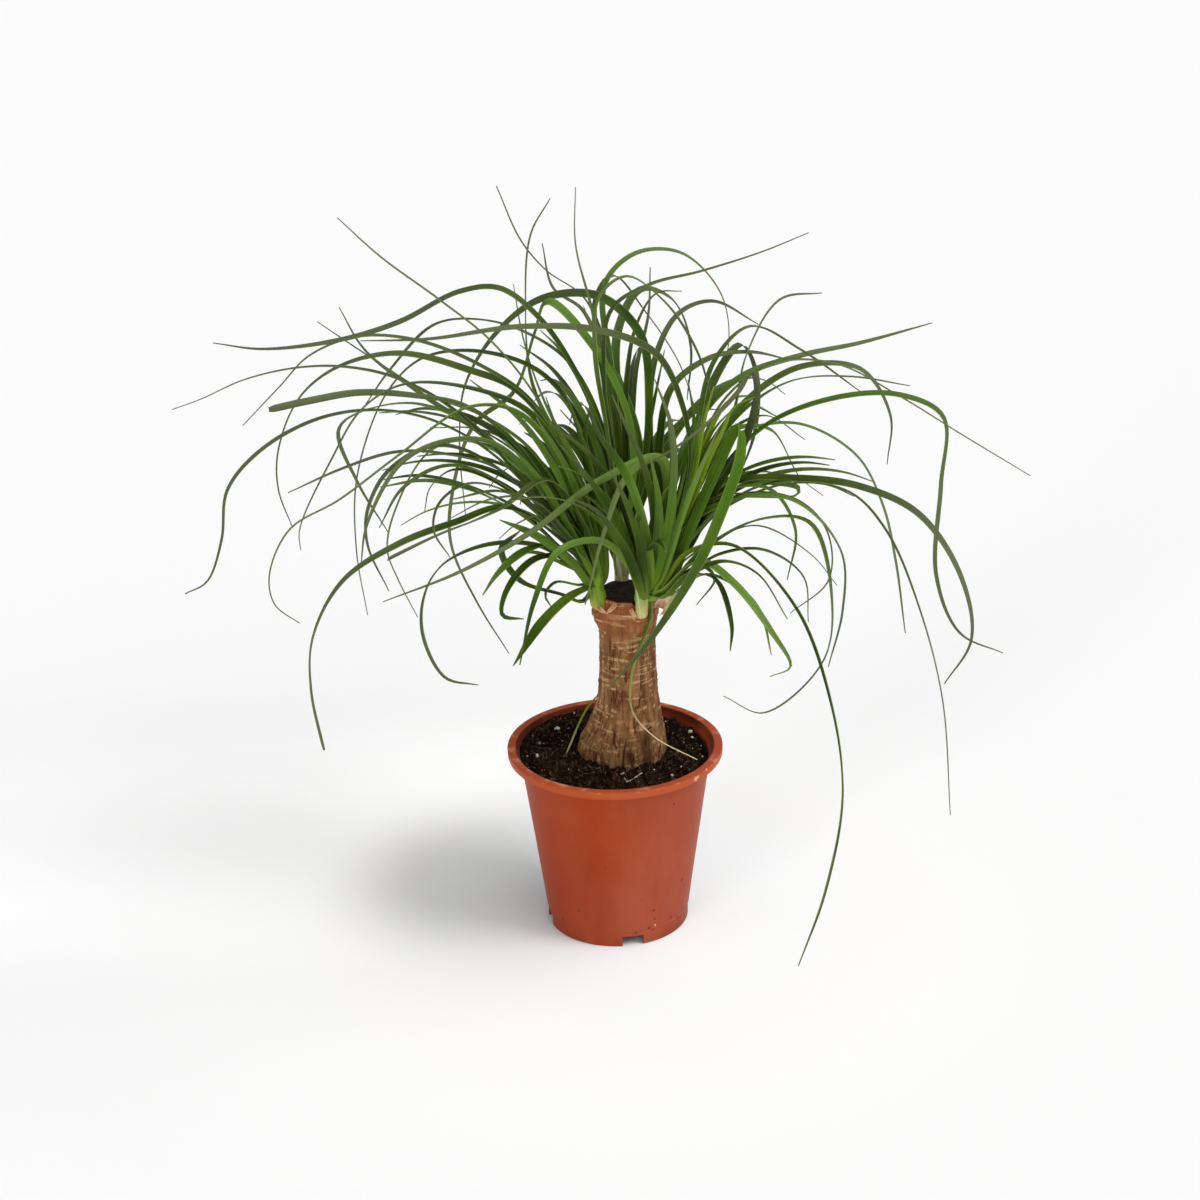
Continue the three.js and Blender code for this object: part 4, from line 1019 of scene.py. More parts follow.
def make_twig():
    path = []
    for px, py in TWIG_SEEN:
        x, y = seen_on_soil(px, py)
        path.append(Vector((x, y, crumbly_height(x, y) + 0.9)) * MM)
    return finished_wires("soil_twig", [path], 0.45 * MM, twig_bark())


# Trunk

# Steps and scale of a sine that jumps about enough to pass for chance
SCATTER_STEPS = (12.9898, 78.233, 37.719)
SCATTER_SCALE = 43758.5453


def scatter(*keys):
    """A fixed number from 0 to 1 for each set of whole numbers."""
    wave = math.sin(sum(key * step for key, step in zip(keys, SCATTER_STEPS))) * SCATTER_SCALE
    return wave - math.floor(wave)


# Leaf scars stand in upright files round the trunk: each is a short plate with a torn upper lip, pale
# tissue that also carries a painted highlight.
# How tall a scar and a crack between two files are, in millimetres.
BARK_FILES = 15
SCAR_RISE = 3.1
CRACK_RISE = 12
# Headings of the hollow and of the cleft in the bulb
HOLLOW_TURN = math.radians(-55)
CLEFT_TURN = math.radians(-91)
HOLLOW_DEPTH = 3.0
CLEFT_DEPTH = 1.5
# Crowns under which the bark swells less than under the others
SWELL_SHARES = {"right": 0.3}
# Heights that the bulb's rough bark fades out between
BULB_FADE = (108, 134)


def turn_between(angle, other):
    """The signed angle between two headings."""
    return (angle - other + math.pi) % math.tau - math.pi


def crown_swell(angle, height):
    """How far the bark swells under the crowns, its torn lip round each shoot and its dip behind it."""
    swell = 0.0
    lip = 0.0
    dip = 0.0
    for head, (x, y, z) in CROWNS.items():
        turn = math.atan2(y - TRUNK_AXIS_Y, x - along(TRUNK_AXIS, TRUNK_TOP))
        across = turn_between(angle, turn) * along(TRUNK_RADII, height)
        off = math.hypot(across, height - z + SHOULDER_DROP)
        swell += SHOULDER_RISE * SWELL_SHARES.get(head, 1) * (1 - smooth(2, SHOULDER_REACH, off))
        edge = math.hypot(across, (height - z + 1) * 0.8)
        torn = 0.5 + 0.5 * math.sin(3.1 * math.atan2(height - z, across) + x)
        lip = max(lip, math.exp(-(((edge - 5.0 - 0.8 * torn) / 0.6) ** 2)) * smooth(0.3, 0.7, torn))
        dip = max(dip, smooth(6, 3.5, abs(across)))
    return swell, lip, dip


def between_edges(value, start, end, blur):
    """1 between two edges and 0 outside them."""
    return smooth(start - blur, start + blur, value) * smooth(end + blur, end - blur, value)


def leaf_scars(angle, height, radius, wander, ripple):
    """The lip, groove, crack and plate, from 0 to 1, of the leaf scars at a place on the trunk."""
    file_place = angle / math.tau * BARK_FILES + 0.22 * math.sin(3 * angle + 1)
    file_place += 0.7 * wander + 0.08 * ripple
    file = math.floor(file_place) % BARK_FILES
    across = file_place % 1
    row_place = height / SCAR_RISE + 3 * scatter(file, 1) + 0.3 * wander + 0.16 * ripple
    row_place += (across - 0.5) * 0.5 * (scatter(file, math.floor(row_place), 9) - 0.5)
    row = math.floor(row_place)
    part = row_place - row
    start = 0.55 * scatter(row, file, 5)
    within = between_edges(across, start, start + 0.2 + 0.7 * scatter(row, file, 6) ** 2, 0.06)
    shown = within * smooth(0.5, 0.8, scatter(row, file, 2))
    lip = between_edges(part, 0.74 - 0.3 * scatter(row, file, 7), 0.95, 0.06) * shown
    groove = smooth(0.2, 0.05, part) * shown
    edge = round(2 * file_place)
    gap = abs(file_place - edge / 2) * math.tau / BARK_FILES * radius
    edge %= 2 * BARK_FILES
    run_place = height / CRACK_RISE + 4 * scatter(edge, 4)
    run = math.floor(run_place)
    chance = 0.5 if edge % 2 else 0.35
    open_run = smooth(chance, chance + 0.2, scatter(edge, run, 3))
    open_run *= between_edges(run_place - run, 0.12, 0.88, 0.12)
    wide = smooth(134, 116, height)
    crack = smooth(0.45 + 0.35 * wide, 0.12 + 0.2 * wide, gap) * open_run
    return lip, groove, crack, scatter(row, file, 8)


def bark_skin(angle, height):
    """How far the bark stands out, in millimetres, with the painted shade of its crevices, its lip and
    its plate from 0 to 1.
    """
    low = 1 - smooth(*BULB_FADE, height)
    radius = along(TRUNK_RADII, height)
    x, y = radius * math.cos(angle), radius * math.sin(angle)
    wander = noise.noise(Vector((x * 0.09, y * 0.09, height * 0.05)))
    ripple = noise.noise(Vector((x * 0.5, y * 0.5, height * 0.3 + 5)))
    ledge, groove, crack, plate = leaf_scars(angle, height, radius, wander, ripple)
    ledge *= 1 - 0.4 * low
    crack *= 1 - 0.7 * smooth(160, 174, height)
    tall = noise.noise(Vector((x * 0.24, y * 0.24, height * 0.03 + 11)))
    patchy = noise.noise(Vector((x * 0.1, 3, height * 0.09)))
    split = smooth(0.06, 0.0, abs(tall)) * smooth(-0.1, 0.25, patchy)
    split *= 1 - 0.75 * smooth(158, 172, height)
    strand = noise.noise(Vector((x * 0.75, y * 0.75, height * 0.08)))
    flake = noise.noise(Vector((x * 1.2, y * 1.2, height * 0.8)))
    knob = noise.noise(Vector((x * 0.11, y * 0.11, height * 0.12 + 2)))
    lump = 0.6 * math.sin(angle * 3 + height * 0.05) + 0.4 * math.sin(angle * 2 - height * 0.08)
    stringy = 0.5 * low * smooth(-0.2, -0.5, strand)
    # Painted shade: cracks, splits, the grooves above the lips and sunken strands are marked dark
    crevice_shade = max(crack * 0.8, split * (0.5 + 0.5 * low), groove * 0.4, stringy)
    out = 0.4 * lump + low * (0.8 * knob + 0.45 * strand) + 0.4 * ledge
    out += 0.3 * (plate - 0.5) + 0.15 * flake
    out -= 0.6 * crack + (0.5 + 0.8 * low) * split + 0.2 * groove
    near_ground = smooth(130, 112, height)
    hollow = math.exp(-((turn_between(angle, HOLLOW_TURN) / 0.24) ** 2)) * near_ground
    cleft = math.exp(-((turn_between(angle, CLEFT_TURN) / 0.028) ** 2)) * smooth(122, 110, height)
    out -= HOLLOW_DEPTH * hollow + CLEFT_DEPTH * cleft
    swell, lip, _ = crown_swell(angle, height)
    # Painted shade: the hollow and the cleft are marked dark too, but not the lips
    crevice_shade = max(crevice_shade, 0.7 * hollow, 0.9 * cleft) * (1 - lip)
    return out + swell + 0.8 * lip, (crevice_shade, max(ledge, lip), plate)


def make_trunk():
    rings, steps = 260, 340
    heights = [TRUNK_BOTTOM, 84, 90]
    heights += [mix(96, TRUNK_TOP, i / rings) for i in range(rings + 1)]
    profile = [(0, TRUNK_BOTTOM * MM)]
    profile += [(along(TRUNK_RADII, height) * MM, height * MM) for height in heights]
    rim = profile[-1][0]
    profile += [(rim * part, TRUNK_TOP * MM) for part in (0.95, 0.85, 0.6, 0)]
    bm = turned(profile, steps)
    layer = bm.verts.layers.float_color.new("bark")
    for vert in bm.verts:
        angle = math.atan2(vert.co.y, vert.co.x)
        height = vert.co.z / MM
        radius = vert.co.xy.length / MM
        outside = smooth(0.8, 1.0, radius / along(TRUNK_RADII, height))
        out, (crevice_shade, lip, plate) = bark_skin(angle, height)
        show = smooth(SOIL_LEVEL - 3, SOIL_LEVEL + 4, height)
        vert[layer] = (crevice_shade * show, lip * show, plate, 1.0)
        radius += out * show * outside
        _, _, dip = crown_swell(angle, height)
        if height > TRUNK_TOP - CUT_WEAR:
            sunk = smooth(TRUNK_TOP - CUT_WEAR, TRUNK_TOP, height)
            height += sunk * (0.5 * noise.noise(vert.co * 180) - 0.4 + 0.6 * lip * outside - 4 * dip)
        vert.co.x = (along(TRUNK_AXIS, height) + radius * math.cos(angle)) * MM
        vert.co.y = (TRUNK_AXIS_Y + radius * math.sin(angle)) * MM
        vert.co.z = height * MM
    return finished("cork_trunk", bm, cork_bark(), replaces=("trunk",))


def make_seal():
    """Dark wax brushed over the cut: an uneven skin that thins out towards its ragged edge."""
    radius = (along(TRUNK_RADII, TRUNK_TOP) - 1.3) * MM
    base = (TRUNK_TOP - 0.4) * MM
    rings, steps = 26, 96
    profile = [(0, base), (radius, base)]
    profile += [(radius * (1 - i / rings), base + 0.9 * MM) for i in range(rings + 1)]
    bm = turned(profile, steps)
    for vert in bm.verts:
        reach = vert.co.xy.length / radius
        angle = math.atan2(vert.co.y, vert.co.x)
        ragged = 1 + 0.07 * noise.noise(Vector((3 * math.cos(angle), 3 * math.sin(angle), 0)))
        if vert.co.z > base:
            dish = -0.9 * (1 - reach ** 2) + 0.9 * noise.noise(vert.co * 260)
            lumps = 0.5 * abs(noise.noise(vert.co * 700))
            vert.co.z += (0.25 + dish + lumps) * MM * smooth(1.0, 0.8, reach)
        vert.co.xy *= ragged
        vert.co.x += along(TRUNK_AXIS, TRUNK_TOP) * MM
        vert.co.y += TRUNK_AXIS_Y * MM
    return finished("wax_on_cut", bm, sealing_wax(), replaces=("cut_seal",))


# Midribs, the same as the frame's

def root_of(head, heading_x, heading_y):
    """Where a leaf that leaves its head towards a heading is rooted in the shoot."""
    x, y, z = CROWNS[head]
    spread = ROOT_SPREAD / (math.hypot(heading_x, heading_y) + 1e-6)
    return np.array((x + heading_x * spread, y + heading_y * spread, z + ROOT_RISE))


def photo_midrib(head, tip_depth, pixels):
    """The midrib of a leaf that the photograph shows: its depth runs evenly from crown to tip."""
    steps = list(zip(pixels[0::2], pixels[1::2]))[::-1]
    crown = np.array(CROWNS[head], float)
    lengths = [float(np.linalg.norm(from_photo(*steps[0], crown[1]) - crown))]
    for (px, py), (qx, qy) in zip(steps, steps[1:]):
        lengths.append(lengths[-1] + math.hypot(qx - px, qy - py) * PIXEL_SIZE)
    points = [
        from_photo(px, py, mix(crown[1], tip_depth, length / lengths[-1]))
        for (px, py), length in zip(steps, lengths)
    ]
    return [root_of(head, points[-1][0] - crown[0], points[-1][1] - crown[1]), *points]


def arch_midrib(head, azimuth, rise, hang, length):
    """The midrib of a hidden leaf: it rises from the crown, arches over and hangs."""
    heading = math.radians(azimuth)
    point = root_of(head, math.cos(heading), math.sin(heading))
    points = [point]
    for i in range(ARCH_STEPS):
        lift = math.radians(mix(rise, -hang, ((i + 0.5) / ARCH_STEPS) ** ARCH_BEND))
        level = math.cos(lift)
        step = np.array((level * math.cos(heading), level * math.sin(heading), math.sin(lift)))
        point = point + step * length / ARCH_STEPS
        points.append(point)
    return points


def curve_points(points, places):
    """Points of a centripetal Catmull-Rom curve at places from 0 to 1."""
    points = np.array(points)
    padded = np.vstack([2 * points[0] - points[1], points, 2 * points[-1] - points[-2]])
    scaled = np.asarray(places) * (len(points) - 1)
    index = np.minimum(scaled.astype(int), len(points) - 2)
    part = (scaled - index)[:, None]
    before, start, end, after = (padded[index + k] for k in range(4))
    stretches = (start - before, end - start, after - end)
    first, second, third = (np.sqrt(np.linalg.norm(step, axis=1))[:, None] for step in stretches)
    ahead = (end - start) / second
    leave = ((start - before) / first - (end - before) / (first + second) + ahead) * second
    arrive = (ahead - (after - start) / (second + third) + (after - end) / third) * second
    cubic = 2 * start - 2 * end + leave + arrive
    square = -3 * start + 3 * end - 2 * leave - arrive
    return start + leave * part + square * part ** 2 + cubic * part ** 3


def samples_of(points, spacing):
    """Points every few millimetres along a smooth curve through the midrib's points."""
    places = np.linspace(0, 1, 201)
    chain = curve_points(points, places)
    lengths = np.concatenate([[0], np.cumsum(np.linalg.norm(np.diff(chain, axis=0), axis=1))])
    count = max(4, int(lengths[-1] / spacing + 0.5))
    return curve_points(points, np.interp(np.linspace(0, lengths[-1], count + 1), lengths, places))


def frame_half_widths(width, count):
    """Half the width of the frame's leaf at each of its samples."""
    part = np.linspace(0, 1, count)
    base = np.clip(part / 0.2, 0, 1)
    base = 0.62 + 0.38 * base * base * (3 - 2 * base)
    taper = np.maximum(0, (part - 0.3) / 0.7) ** 1.4
    return mix(width / 2 * base, TIP_WIDTH / 2, taper)


def lack_of_room(head, samples, halves, leaves):
    """How much room a leaf lacks from those that stand already; those of other heads weigh most."""
    lack = 0.0
    in_crown = int(CROWN_REACH / SAMPLE_LENGTH + 0.5)
    for other in leaves:
        same = other["head"] == head
        need, margin, start = (0.5, 1.2, in_crown) if same else (0.8, 1.4, 0)
        own = samples[start:]
        if not len(own):
            continue
        room = np.linalg.norm(own[:, None] - other["samples"][None], axis=2)
        room -= need * (halves[start:, None] + other["halves"][None]) + margin
        lack += min(0.0, float(room.min())) * (1 if same else OTHER_HEAD_WEIGHT)
    return lack


def place_leaf(leaves, head, width, midrib_at):
    """Places one leaf: it swings a little further to and fro until it is clear of the others."""
    best = None
    for i in range(SWINGS):
        swing = SWING_STEP * math.ceil(i / 2) * (1 if i % 2 else -1)
        midrib = midrib_at(swing)
        samples = samples_of(midrib, SAMPLE_LENGTH)
        halves = frame_half_widths(width, len(samples))
        lack = lack_of_room(head, samples, halves, leaves)
        if best is None or lack > best["lack"]:
            best = dict(head=head, width=width, midrib=midrib, samples=samples, halves=halves, lack=lack)
        if best["lack"] == 0:
            break
    leaves.append(best)
    return best


def frame_leaves():
    """The leaves that the frame's solids have, in the same places."""
    leaves = []
    for head, tip_depth, width, pixels in PHOTO_LEAVES:
        leaf = place_leaf(leaves, head, width,
                          lambda swing: photo_midrib(head, tip_depth + swing, pixels))
        leaf["end"] = pixels[:2]
    for head, spec in HIDDEN_LEAVES.items():
        for i in range(spec["count"]):
            azimuth = mix(*spec["spread"], (i * GOLDEN_TURN) % 1)
            age = (i + 0.5) / spec["count"]
            rise = mix(*spec["rise"], age)
            hang = mix(*spec["hang"], age)
            length = mix(*spec["length"], (i * LENGTH_TURN) % 1)
            place_leaf(leaves, head, HIDDEN_WIDTH,
                       lambda swing: arch_midrib(head, azimuth + swing / 2, rise, hang, length))
    return leaves


def all_leaves():
    """Every leaf with its midrib, from inside its shoot to its tip, and with how it looks."""
    leaves = frame_leaves()
    for head, tip_depth, width, pixels in CROWD_LEAVES:
        midrib = photo_midrib(head, tip_depth, pixels)
        leaves.append(dict(head=head, width=width, midrib=midrib, end=pixels[:2], crowd=True))
    for leaf in leaves:
        end = leaf.get("end")
        leaf.update(blunt=end in BLUNT_ENDS, bright=end in BRIGHT_LEAVES, late=end in LATE_ENDS)
        leaf["dry"] = float(end in DRY_LEAVES)
        leaf["facing"] = leaf.get("crowd", False) or end in FACING_LEAVES
        leaf["most"] = LEAF_MOSTS.get(end, FACING_MOST if leaf["facing"] else BLADE_MOST)
        x, y, z = CROWNS[leaf["head"]]
        base = np.array((x, y, z + 1)) + (leaf["midrib"][0] - (x, y, z + ROOT_RISE)) * BASE_SPREAD
        leaf["midrib"] = [base, *leaf["midrib"]]
    return leaves


# Leaves

# Inside its shoot a leaf spreads from its crown by this share of its root's spread
BASE_SPREAD = 0.55
# Blades, in millimetres: how far apart their rows are along the midrib, their share of the frame's width,
# how broad they are at most, and the width of their tips
BLADE_COLUMNS = 6
BLADE_THICKNESS = 0.4 * MM
BLADE_SPACING = 3
BLADE_SLIMNESS = 0.95
BLADE_MOST = 5.7
FACING_MOST = 5.0
THREAD_WIDTH = 0.55
# Share of its length at which a blade begins to taper, and the length below which it tapers late
TAPER_START = 0.4
LATE_TAPER = 0.66
SHORT_LENGTH = 125
# Length from which a leaf's end is fully greyed. A late-tapering leaf greys less, and its end is painted
# darker as shade
LONG_LENGTH = 230
LATE_AGEING = 0.6
LATE_END_SHADE = 0.3
# Degrees that a blade is folded on its midrib at its root and at its tip
ROOT_FOLD = 40
TIP_FOLD = 12
# Share by which a facing leaf turns to the viewer at each step along it, and how little it twists
FACING_TURN = 0.3
FACING_CALM = 0.45
# How light the lightest leaf is that is drawn at random
LIGHTEST = 0.92

# Leaves whose ends are cut or torn off, by the pixel that the end shows at
BLUNT_ENDS = ((269, 410), (388, 560), (325, 750))
# Leaves that have yellowed or dried
DRY_LEAVES = ((697, 760),)
# Young leaves, brighter than the rest
BRIGHT_LEAVES = ((780, 418), (755, 395), (755, 397), (714, 386))
# How broad these leaves are at most, in millimetres
LEAF_MOSTS = {(609, 688): 6.4, (650, 455): 6.4, (520, 665): 4.0}
# Leaves whose flat side the photograph shows
FACING_LEAVES = (
    (609, 688), (520, 665), (585, 605), (383, 602), (650, 455), (718, 430), (700, 415), (560, 445),
    (545, 420), (575, 500), (610, 470), (655, 380),
)
# How light these leaves are, from 0 to 1, as they show: their own tone with painted light and shade; the
# others are drawn at random
LEAF_TONES = {
    (609, 688): 0.6, (520, 665): 0.78, (798, 966): 0.2, (585, 605): 0.74, (383, 602): 0.78,
    (650, 455): 0.84, (591, 411): 0.76, (560, 445): 0.35, (545, 420): 0.12, (640, 466): 0.05,
    (566, 755): 0.75, (718, 430): 0.88, (700, 415): 0.7, (755, 395): 0.9,
}
# Leaves that stay broad for most of their length, with painted shade darkening their ends
LATE_ENDS = ((609, 688), (520, 665), (513, 666), (591, 411), (798, 966))
# More of the leaves that crowd the middle of the photograph, in rows like those above
CROWD_LEAVES = (
    ("front", -104, 5, (591,411, 599,434, 613,454, 627,476, 638,504, 647,540, 651,585)),
    ("front", -76, 5, (612,395, 628,430, 645,470, 654,520, 652,585)),
    ("front", -58, 5, (668,420, 672,470, 668,530, 656,590)),
    ("right", -58, 5, (640,466, 660,457, 700,430, 740,390, 752,372, 757,388, 745,440, 715,490, 690,545)),
    ("right", -12, 6, (714,386, 706,414, 695,465, 680,521, 672,560)),
    ("right", -30, 5.5, (755,397, 734,408, 723,431, 706,465, 686,521, 676,560)),
    ("right", 2, 5, (688,380, 694,420, 690,470, 678,530, 672,560)),
    ("right", -40, 5, (740,445, 722,470, 700,500, 680,550)),
    ("left", -44, 5, (546,397, 559,436, 573,473, 590,516, 600,570)),
    ("left", -62, 5, (536,417, 565,465, 579,499, 593,549, 600,590)),
    ("left", -72, 4.5, (505,440, 540,480, 570,530, 597,585)),
    ("left", -60, 5, (500,520, 535,535, 570,560, 596,592)),
    ("left", -20, 5, (590,405, 585,440, 592,490, 604,545, 604,580)),
    ("left", -30, 4.5, (560,380, 575,420, 590,470, 600,530, 603,580)),
)


def blade_half_width(leaf, part, length):
    """Half the width of a strap leaf: tapering into a thread, or cut off; it shrivels where it is dry."""
    half = min(leaf["width"] * BLADE_SLIMNESS, leaf["most"]) / 2 * (0.8 + 0.2 * smooth(0, 0.2, part))
    if leaf["blunt"]:
        return half * mix(1, 0.72, part) * (1 - 0.35 * smooth(0.985, 1, part))
    start = LATE_TAPER if leaf["late"] or length < SHORT_LENGTH else TAPER_START
    half *= 1 - 0.5 * leaf["dry"] * smooth(0.5, 0.7, part)
    return mix(half, THREAD_WIDTH / 2, max(0.0, (part - start) / (1 - start)) ** 1.5)


def blade_sides(leaf, points, ahead):
    """The level direction across the blade at each of its points; a facing leaf turns to the viewer."""
    side = np.array((points[0][1] - points[-1][1], points[-1][0] - points[0][0], 0.0))
    sides = []
    for point, direction in zip(points, ahead):
        if leaf["facing"]:
            wanted = np.cross(direction, point - np.array(PHOTO_EYE))
            wanted *= math.copysign(1 / np.linalg.norm(wanted), wanted.dot(side))
            side = mix(side / np.linalg.norm(side), wanted, FACING_TURN)
        side = side - direction * side.dot(direction)
        side /= np.linalg.norm(side)
        sides.append(side)
    return sides


def add_blade(bm, leaf):
    """One blade: a grid laid along the midrib, folded on it, twisting gently towards its tip."""
    points = samples_of(leaf["midrib"], BLADE_SPACING)
    rows = len(points) - 1
    made = bmesh.ops.create_grid(bm, x_segments=BLADE_COLUMNS, y_segments=rows, size=1, calc_uvs=True)
    layer = bm.verts.layers.float_color["leaf"]
    ahead = np.gradient(points, axis=0)
    ahead /= np.linalg.norm(ahead, axis=1)[:, None]
    sides = blade_sides(leaf, points, ahead)
    drawn_tone = rng.uniform(0, LIGHTEST)
    # A listed leaf's tone holds painted light and shade as well as its own colour
    tone = 1.0 if leaf["bright"] else LEAF_TONES.get(leaf.get("end"), drawn_tone)
    calm = FACING_CALM if leaf["facing"] else 1
    twist = rng.uniform(-0.6, 0.6) * calm
    late_twist = rng.uniform(-1.3, 1.3) * calm
    slack = rng.uniform(0.5, 1.0)
    ageing = 1.0 if leaf["dry"] else min(1.0, rows * BLADE_SPACING / LONG_LENGTH)
    ageing *= LATE_AGEING if leaf["late"] else 1
    # Painted shade: a late-tapering leaf's end is darkened
    shaded_end_tone = tone * LATE_END_SHADE if leaf["late"] else tone
    for vert in made["verts"]:
        across, part = vert.co.x, (vert.co.y + 1) / 2
        row = int(part * rows + 0.5)
        up = np.cross(ahead[row], sides[row])
        turn = twist * smooth(0.05, 0.5, part) + late_twist * smooth(0.45, 1.0, part)
        level = sides[row] * math.cos(turn) + up * math.sin(turn)
        rise = up * math.cos(turn) - sides[row] * math.sin(turn)
        half = blade_half_width(leaf, part, rows * BLADE_SPACING)
        fold = math.radians(mix(ROOT_FOLD, TIP_FOLD, smooth(0, 0.4, part) * slack))
        lift = math.sqrt(across * across + 0.02) - 0.4
        point = points[row] + level * across * half * math.cos(fold) + rise * lift * half * math.sin(fold)
        vert.co = Vector(point) * MM
        local_tone = mix(tone, shaded_end_tone, smooth(0.55, 0.85, part))
        vert[layer] = (part * ageing, local_tone, leaf["dry"], 1.0)


def make_blades(name, leaves, material, replaces=()):
    """A set of leaves as one piece."""
    bm = bmesh.new()
    bm.loops.layers.uv.new("UVMap")
    bm.verts.layers.float_color.new("leaf")
    for leaf in leaves:
        add_blade(bm, leaf)
    bmesh.ops.solidify(bm, geom=bm.faces, thickness=BLADE_THICKNESS)
    return finished(name, bm, material, replaces=replaces)


# The tip of an old leaf that stands in the soil and leans on the trunk: its pixels from the soil up, the
# depth along Y at which it touches the trunk, and its widths
FALLEN_LEAF = ((566, 755), (570, 745), (576, 730), (583, 715), (590, 704), (599, 694))
FALLEN_LEAN = 9
FALLEN_WIDTH = 2.6
FALLEN_MOST = 1.25


def make_fallen_leaf(material):
    x, y = seen_on_soil(*FALLEN_LEAF[0])
    depths = np.linspace(y, FALLEN_LEAN, len(FALLEN_LEAF))
    points = [from_photo(px, py, depth) for (px, py), depth in zip(FALLEN_LEAF, depths)]
    points[0][2] = crumbly_height(x, y) + 0.5
    look = dict(blunt=True, bright=False, late=False, facing=True, dry=0.35, end=FALLEN_LEAF[0])
    leaf = dict(midrib=points[::-1], width=FALLEN_WIDTH, most=FALLEN_MOST, **look)
    return make_blades("fallen_leaf", [leaf], material)


# Shoots, the clasped leaf bases that each head grows from: their radius at heights above the crown, how
# far each is shifted, and its girth at the foot
SHOOT_RADII = ((-4, 1.3), (-3.4, 2.3), (-2, 2.9), (3, 3.2), (9, 3.4), (15, 3.7), (21, 3.5), (26, 2))
SHOOT_SHIFTS = {"left": (-0.6, -5, 0.8), "front": (-1.2, -1.5, 1), "right": (0, 0, 0), "back": (0, 0, 0)}
SHOOT_GIRTHS = {"left": 1.4, "front": 1.05, "right": 1, "back": 1.1}
SHEATHS = 4
SHEATH_THICKNESS = 0.35 * MM
SHOOT_RINGS = 44
SHOOT_STEPS = 96


def make_shoot(head, material):
    """Leaf bases clasped round one another: each sheath's edge runs up the shoot at a slant."""
    x, y, z = (place + shift for place, shift in zip(CROWNS[head], SHOOT_SHIFTS[head]))
    away = Vector((x - along(TRUNK_AXIS, TRUNK_TOP), y - TRUNK_AXIS_Y)).normalized()
    low, high = SHOOT_RADII[0][0], SHOOT_RADII[-1][0]
    heights = [mix(low, high, i / SHOOT_RINGS) for i in range(SHOOT_RINGS + 1)]
    wall = [(along(SHOOT_RADII, height) * MM, height * MM) for height in heights]
    bm = turned([(0, low * MM), *wall, (0, high * MM)], SHOOT_STEPS)
    layer = bm.verts.layers.float_color.new("sheath")
    for vert in bm.verts:
        angle = math.atan2(vert.co.y, vert.co.x)
        height = vert.co.z / MM
        rise = (height - low) / (high - low)
        place = (angle / math.tau * SHEATHS + 0.9 * rise + scatter(round(x))) % 1
        step = smooth(1.0, 0.9, place) * (0.35 + 0.65 * place)
        rim = smooth(0.8, 0.9, place) * smooth(0.985, 0.94, place)
        waver = noise.noise(Vector((math.cos(angle), math.sin(angle), height * 0.12)) * 1.6)
        grow = (0.9 + 0.24 * step + 0.07 * waver) * mix(SHOOT_GIRTHS[head], 1, smooth(2, 12, height))
        lean = 0.1 * max(0, height + 5)
        vert.co.x *= grow
        vert.co.y *= grow
        vert.co += Vector((x + away.x * lean, y + away.y * lean, z)) * MM
        vert[layer] = (smooth(0.02, 0.4, rise), rim, 0.0, 1.0)
    return finished(f"shoot_{head}", bm, material)


# Flakes of bark torn up at the feet of the shoots, and dead sheaths that stand beside them: where each
# starts and ends, as a pixel of the photograph and a depth, and its width
TORN_BARK = (
    ((598, 606, -7.5), (608, 613, -10.5), 2.8),
    ((616, 604, -13), (606, 613, -10.5), 2.4),
    ((631, 609, -14), (638, 618, -14), 2.2),
)
WITHERED_SHEATH = ((660, 610, -6), (677, 576, -26), 8.5)
CREAM_SHEATH = ((664, 616, -5), (678, 588, -27), 4.5)


def make_loose_sheath(name, place, material):
    """A torn sheath or flake: a trough that narrows to a ragged point."""
    base, tip, width = place
    bm = bmesh.new()
    layer = bm.verts.layers.float_color.new("sheath")
    made = bmesh.ops.create_grid(bm, x_segments=12, y_segments=24, size=1)
    start, end = Vector(from_photo(*base)), Vector(from_photo(*tip))
    ahead = (end - start).normalized()
    side = ahead.cross(Vector((0.25, 1, 0.1))).normalized()
    out = side.cross(ahead)
    for vert in made["verts"]:
        across, part = vert.co.x, (vert.co.y + 1) / 2
        half = width / 2 * (1 - 0.25 * part) * (1 - smooth(0.72, 1.02, part + 0.1 * abs(across)))
        curl = across * mix(1.35, 0.8, part)
        ragged = 0.5 * noise.noise(Vector((across * 2, part * 6, width)))
        point = start + ahead * part * (end - start).length + side * half * math.sin(curl)
        point += out * (half * (math.cos(curl) - 0.6) + ragged - 1.2 * math.sin(math.pi * part))
        vert.co = point * MM
        vert[layer] = (smooth(0.1, 0.7, part), smooth(0.75, 1, abs(across)), 0.0, 1.0)
    bmesh.ops.solidify(bm, geom=bm.faces, thickness=SHEATH_THICKNESS)
    return finished(name, bm, material)


# Stage, light and camera

# The floor, in metres: half its width, and how far it lies below the foot so that the two don't flicker
FLOOR_REACH = 60
FLOOR_DROP = 0.05 * MM


def make_stage():
    bm = bmesh.new()
    bmesh.ops.create_grid(bm, x_segments=1, y_segments=1, size=FLOOR_REACH)
    mesh = bpy.data.meshes.new("floor")
    bm.to_mesh(mesh)
    bm.free()
    mesh.materials.append(matt_floor())
    floor = bpy.data.objects.new("floor", mesh)
    floor.location.z = -FLOOR_DROP
    bpy.context.scene.collection.objects.link(floor)


# Lights: heading and lift in degrees, strength, and how wide a part of the sky each fills in degrees
LIGHTS = {
    "key": (-23, 46, 1.2, 26),
    "broad": (-30, 50, 1.44, 90),
    "fill": (-125, 8, 1.0, 16),
}
SKY_STRENGTH = 0.37


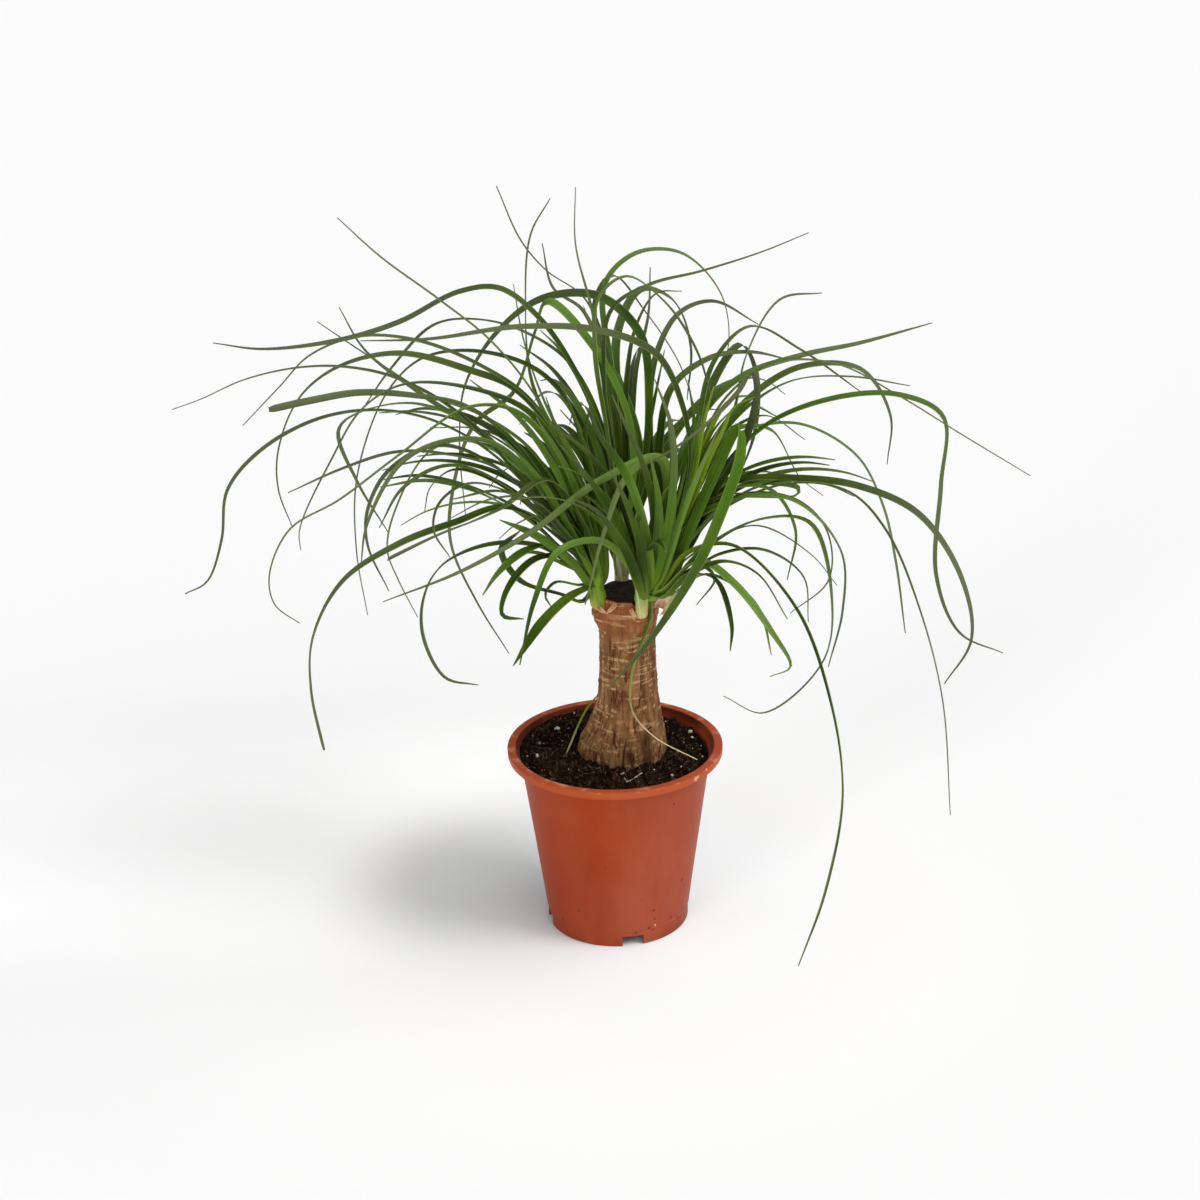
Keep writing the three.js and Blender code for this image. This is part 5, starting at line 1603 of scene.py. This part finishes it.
def add_sun(name, heading, lift, strength, spread):
    light = bpy.data.lights.new(name, "SUN")
    light.energy = strength
    light.angle = math.radians(spread)
    lamp = bpy.data.objects.new(name, light)
    heading, lift = math.radians(heading), math.radians(lift)
    level = math.cos(lift)
    toward = Vector((level * math.cos(heading), level * math.sin(heading), math.sin(lift)))
    lamp.rotation_euler = toward.to_track_quat("Z", "Y").to_euler()
    bpy.context.scene.collection.objects.link(lamp)


def make_light():
    """White surroundings, a soft key light on the right, a very broad one and a faint low fill."""
    world = bpy.data.worlds.new("studio")
    world.use_nodes = True
    background = world.node_tree.nodes["Background"]
    background.inputs["Color"].default_value = (1, 1, 1, 1)
    background.inputs["Strength"].default_value = SKY_STRENGTH
    bpy.context.scene.world = world
    for name, settings in LIGHTS.items():
        add_sun(name, *settings)
    bpy.context.scene.view_settings.view_transform = "Standard"


def make_camera():
    camera = bpy.data.cameras.new("photo_view")
    camera.sensor_width = SENSOR
    camera.lens = SENSOR * PHOTO_FOCAL / PHOTO_WIDTH
    camera.clip_start = 0.05
    camera.clip_end = 200
    holder = bpy.data.objects.new("photo_view", camera)
    turn = Matrix.Rotation(math.radians(90) - PHOTO_PITCH, 4, "X") @ Matrix.Rotation(-PHOTO_ROLL, 4, "Z")
    holder.location = Vector(PHOTO_EYE) * MM
    holder.rotation_euler = turn.to_euler()
    bpy.context.scene.collection.objects.link(holder)
    bpy.context.scene.camera = holder


# The whole scene. Its random draws run on from the clods to the dark fibres, so the order matters

make_camera()
make_light()
make_stage()
make_pot()
peaty = make_soil().data.materials[0]
make_clods(peaty)
make_chips()
make_perlite()
make_fibres("peat_fibres", 150, 0.2 * MM, peat_fibre())
make_twig()
make_trunk()
make_seal()

strap = leaf_green()
plant_leaves = all_leaves()
for head_name in CROWNS:
    own_leaves = [leaf for leaf in plant_leaves if leaf["head"] == head_name]
    make_blades(f"leaves_{head_name}", own_leaves, strap, replaces=(f"head_{head_name}",))
make_fallen_leaf(strap)

skins = {name: sheath_skin(name, *colours) for name, colours in SHEATH_COLOURS.items()}
for head_name, skin in SHOOT_SKINS.items():
    make_shoot(head_name, skins[skin])
for number, flake in enumerate(TORN_BARK):
    make_loose_sheath(f"torn_bark_{number}", flake, skins["torn_bark"])
make_loose_sheath("withered_sheath", WITHERED_SHEATH, skins["withered_sheath"])
make_loose_sheath("cream_sheath", CREAM_SHEATH, skins["pale_sheath"])
make_fibres("dark_fibres", 90, 0.42 * MM, peaty)
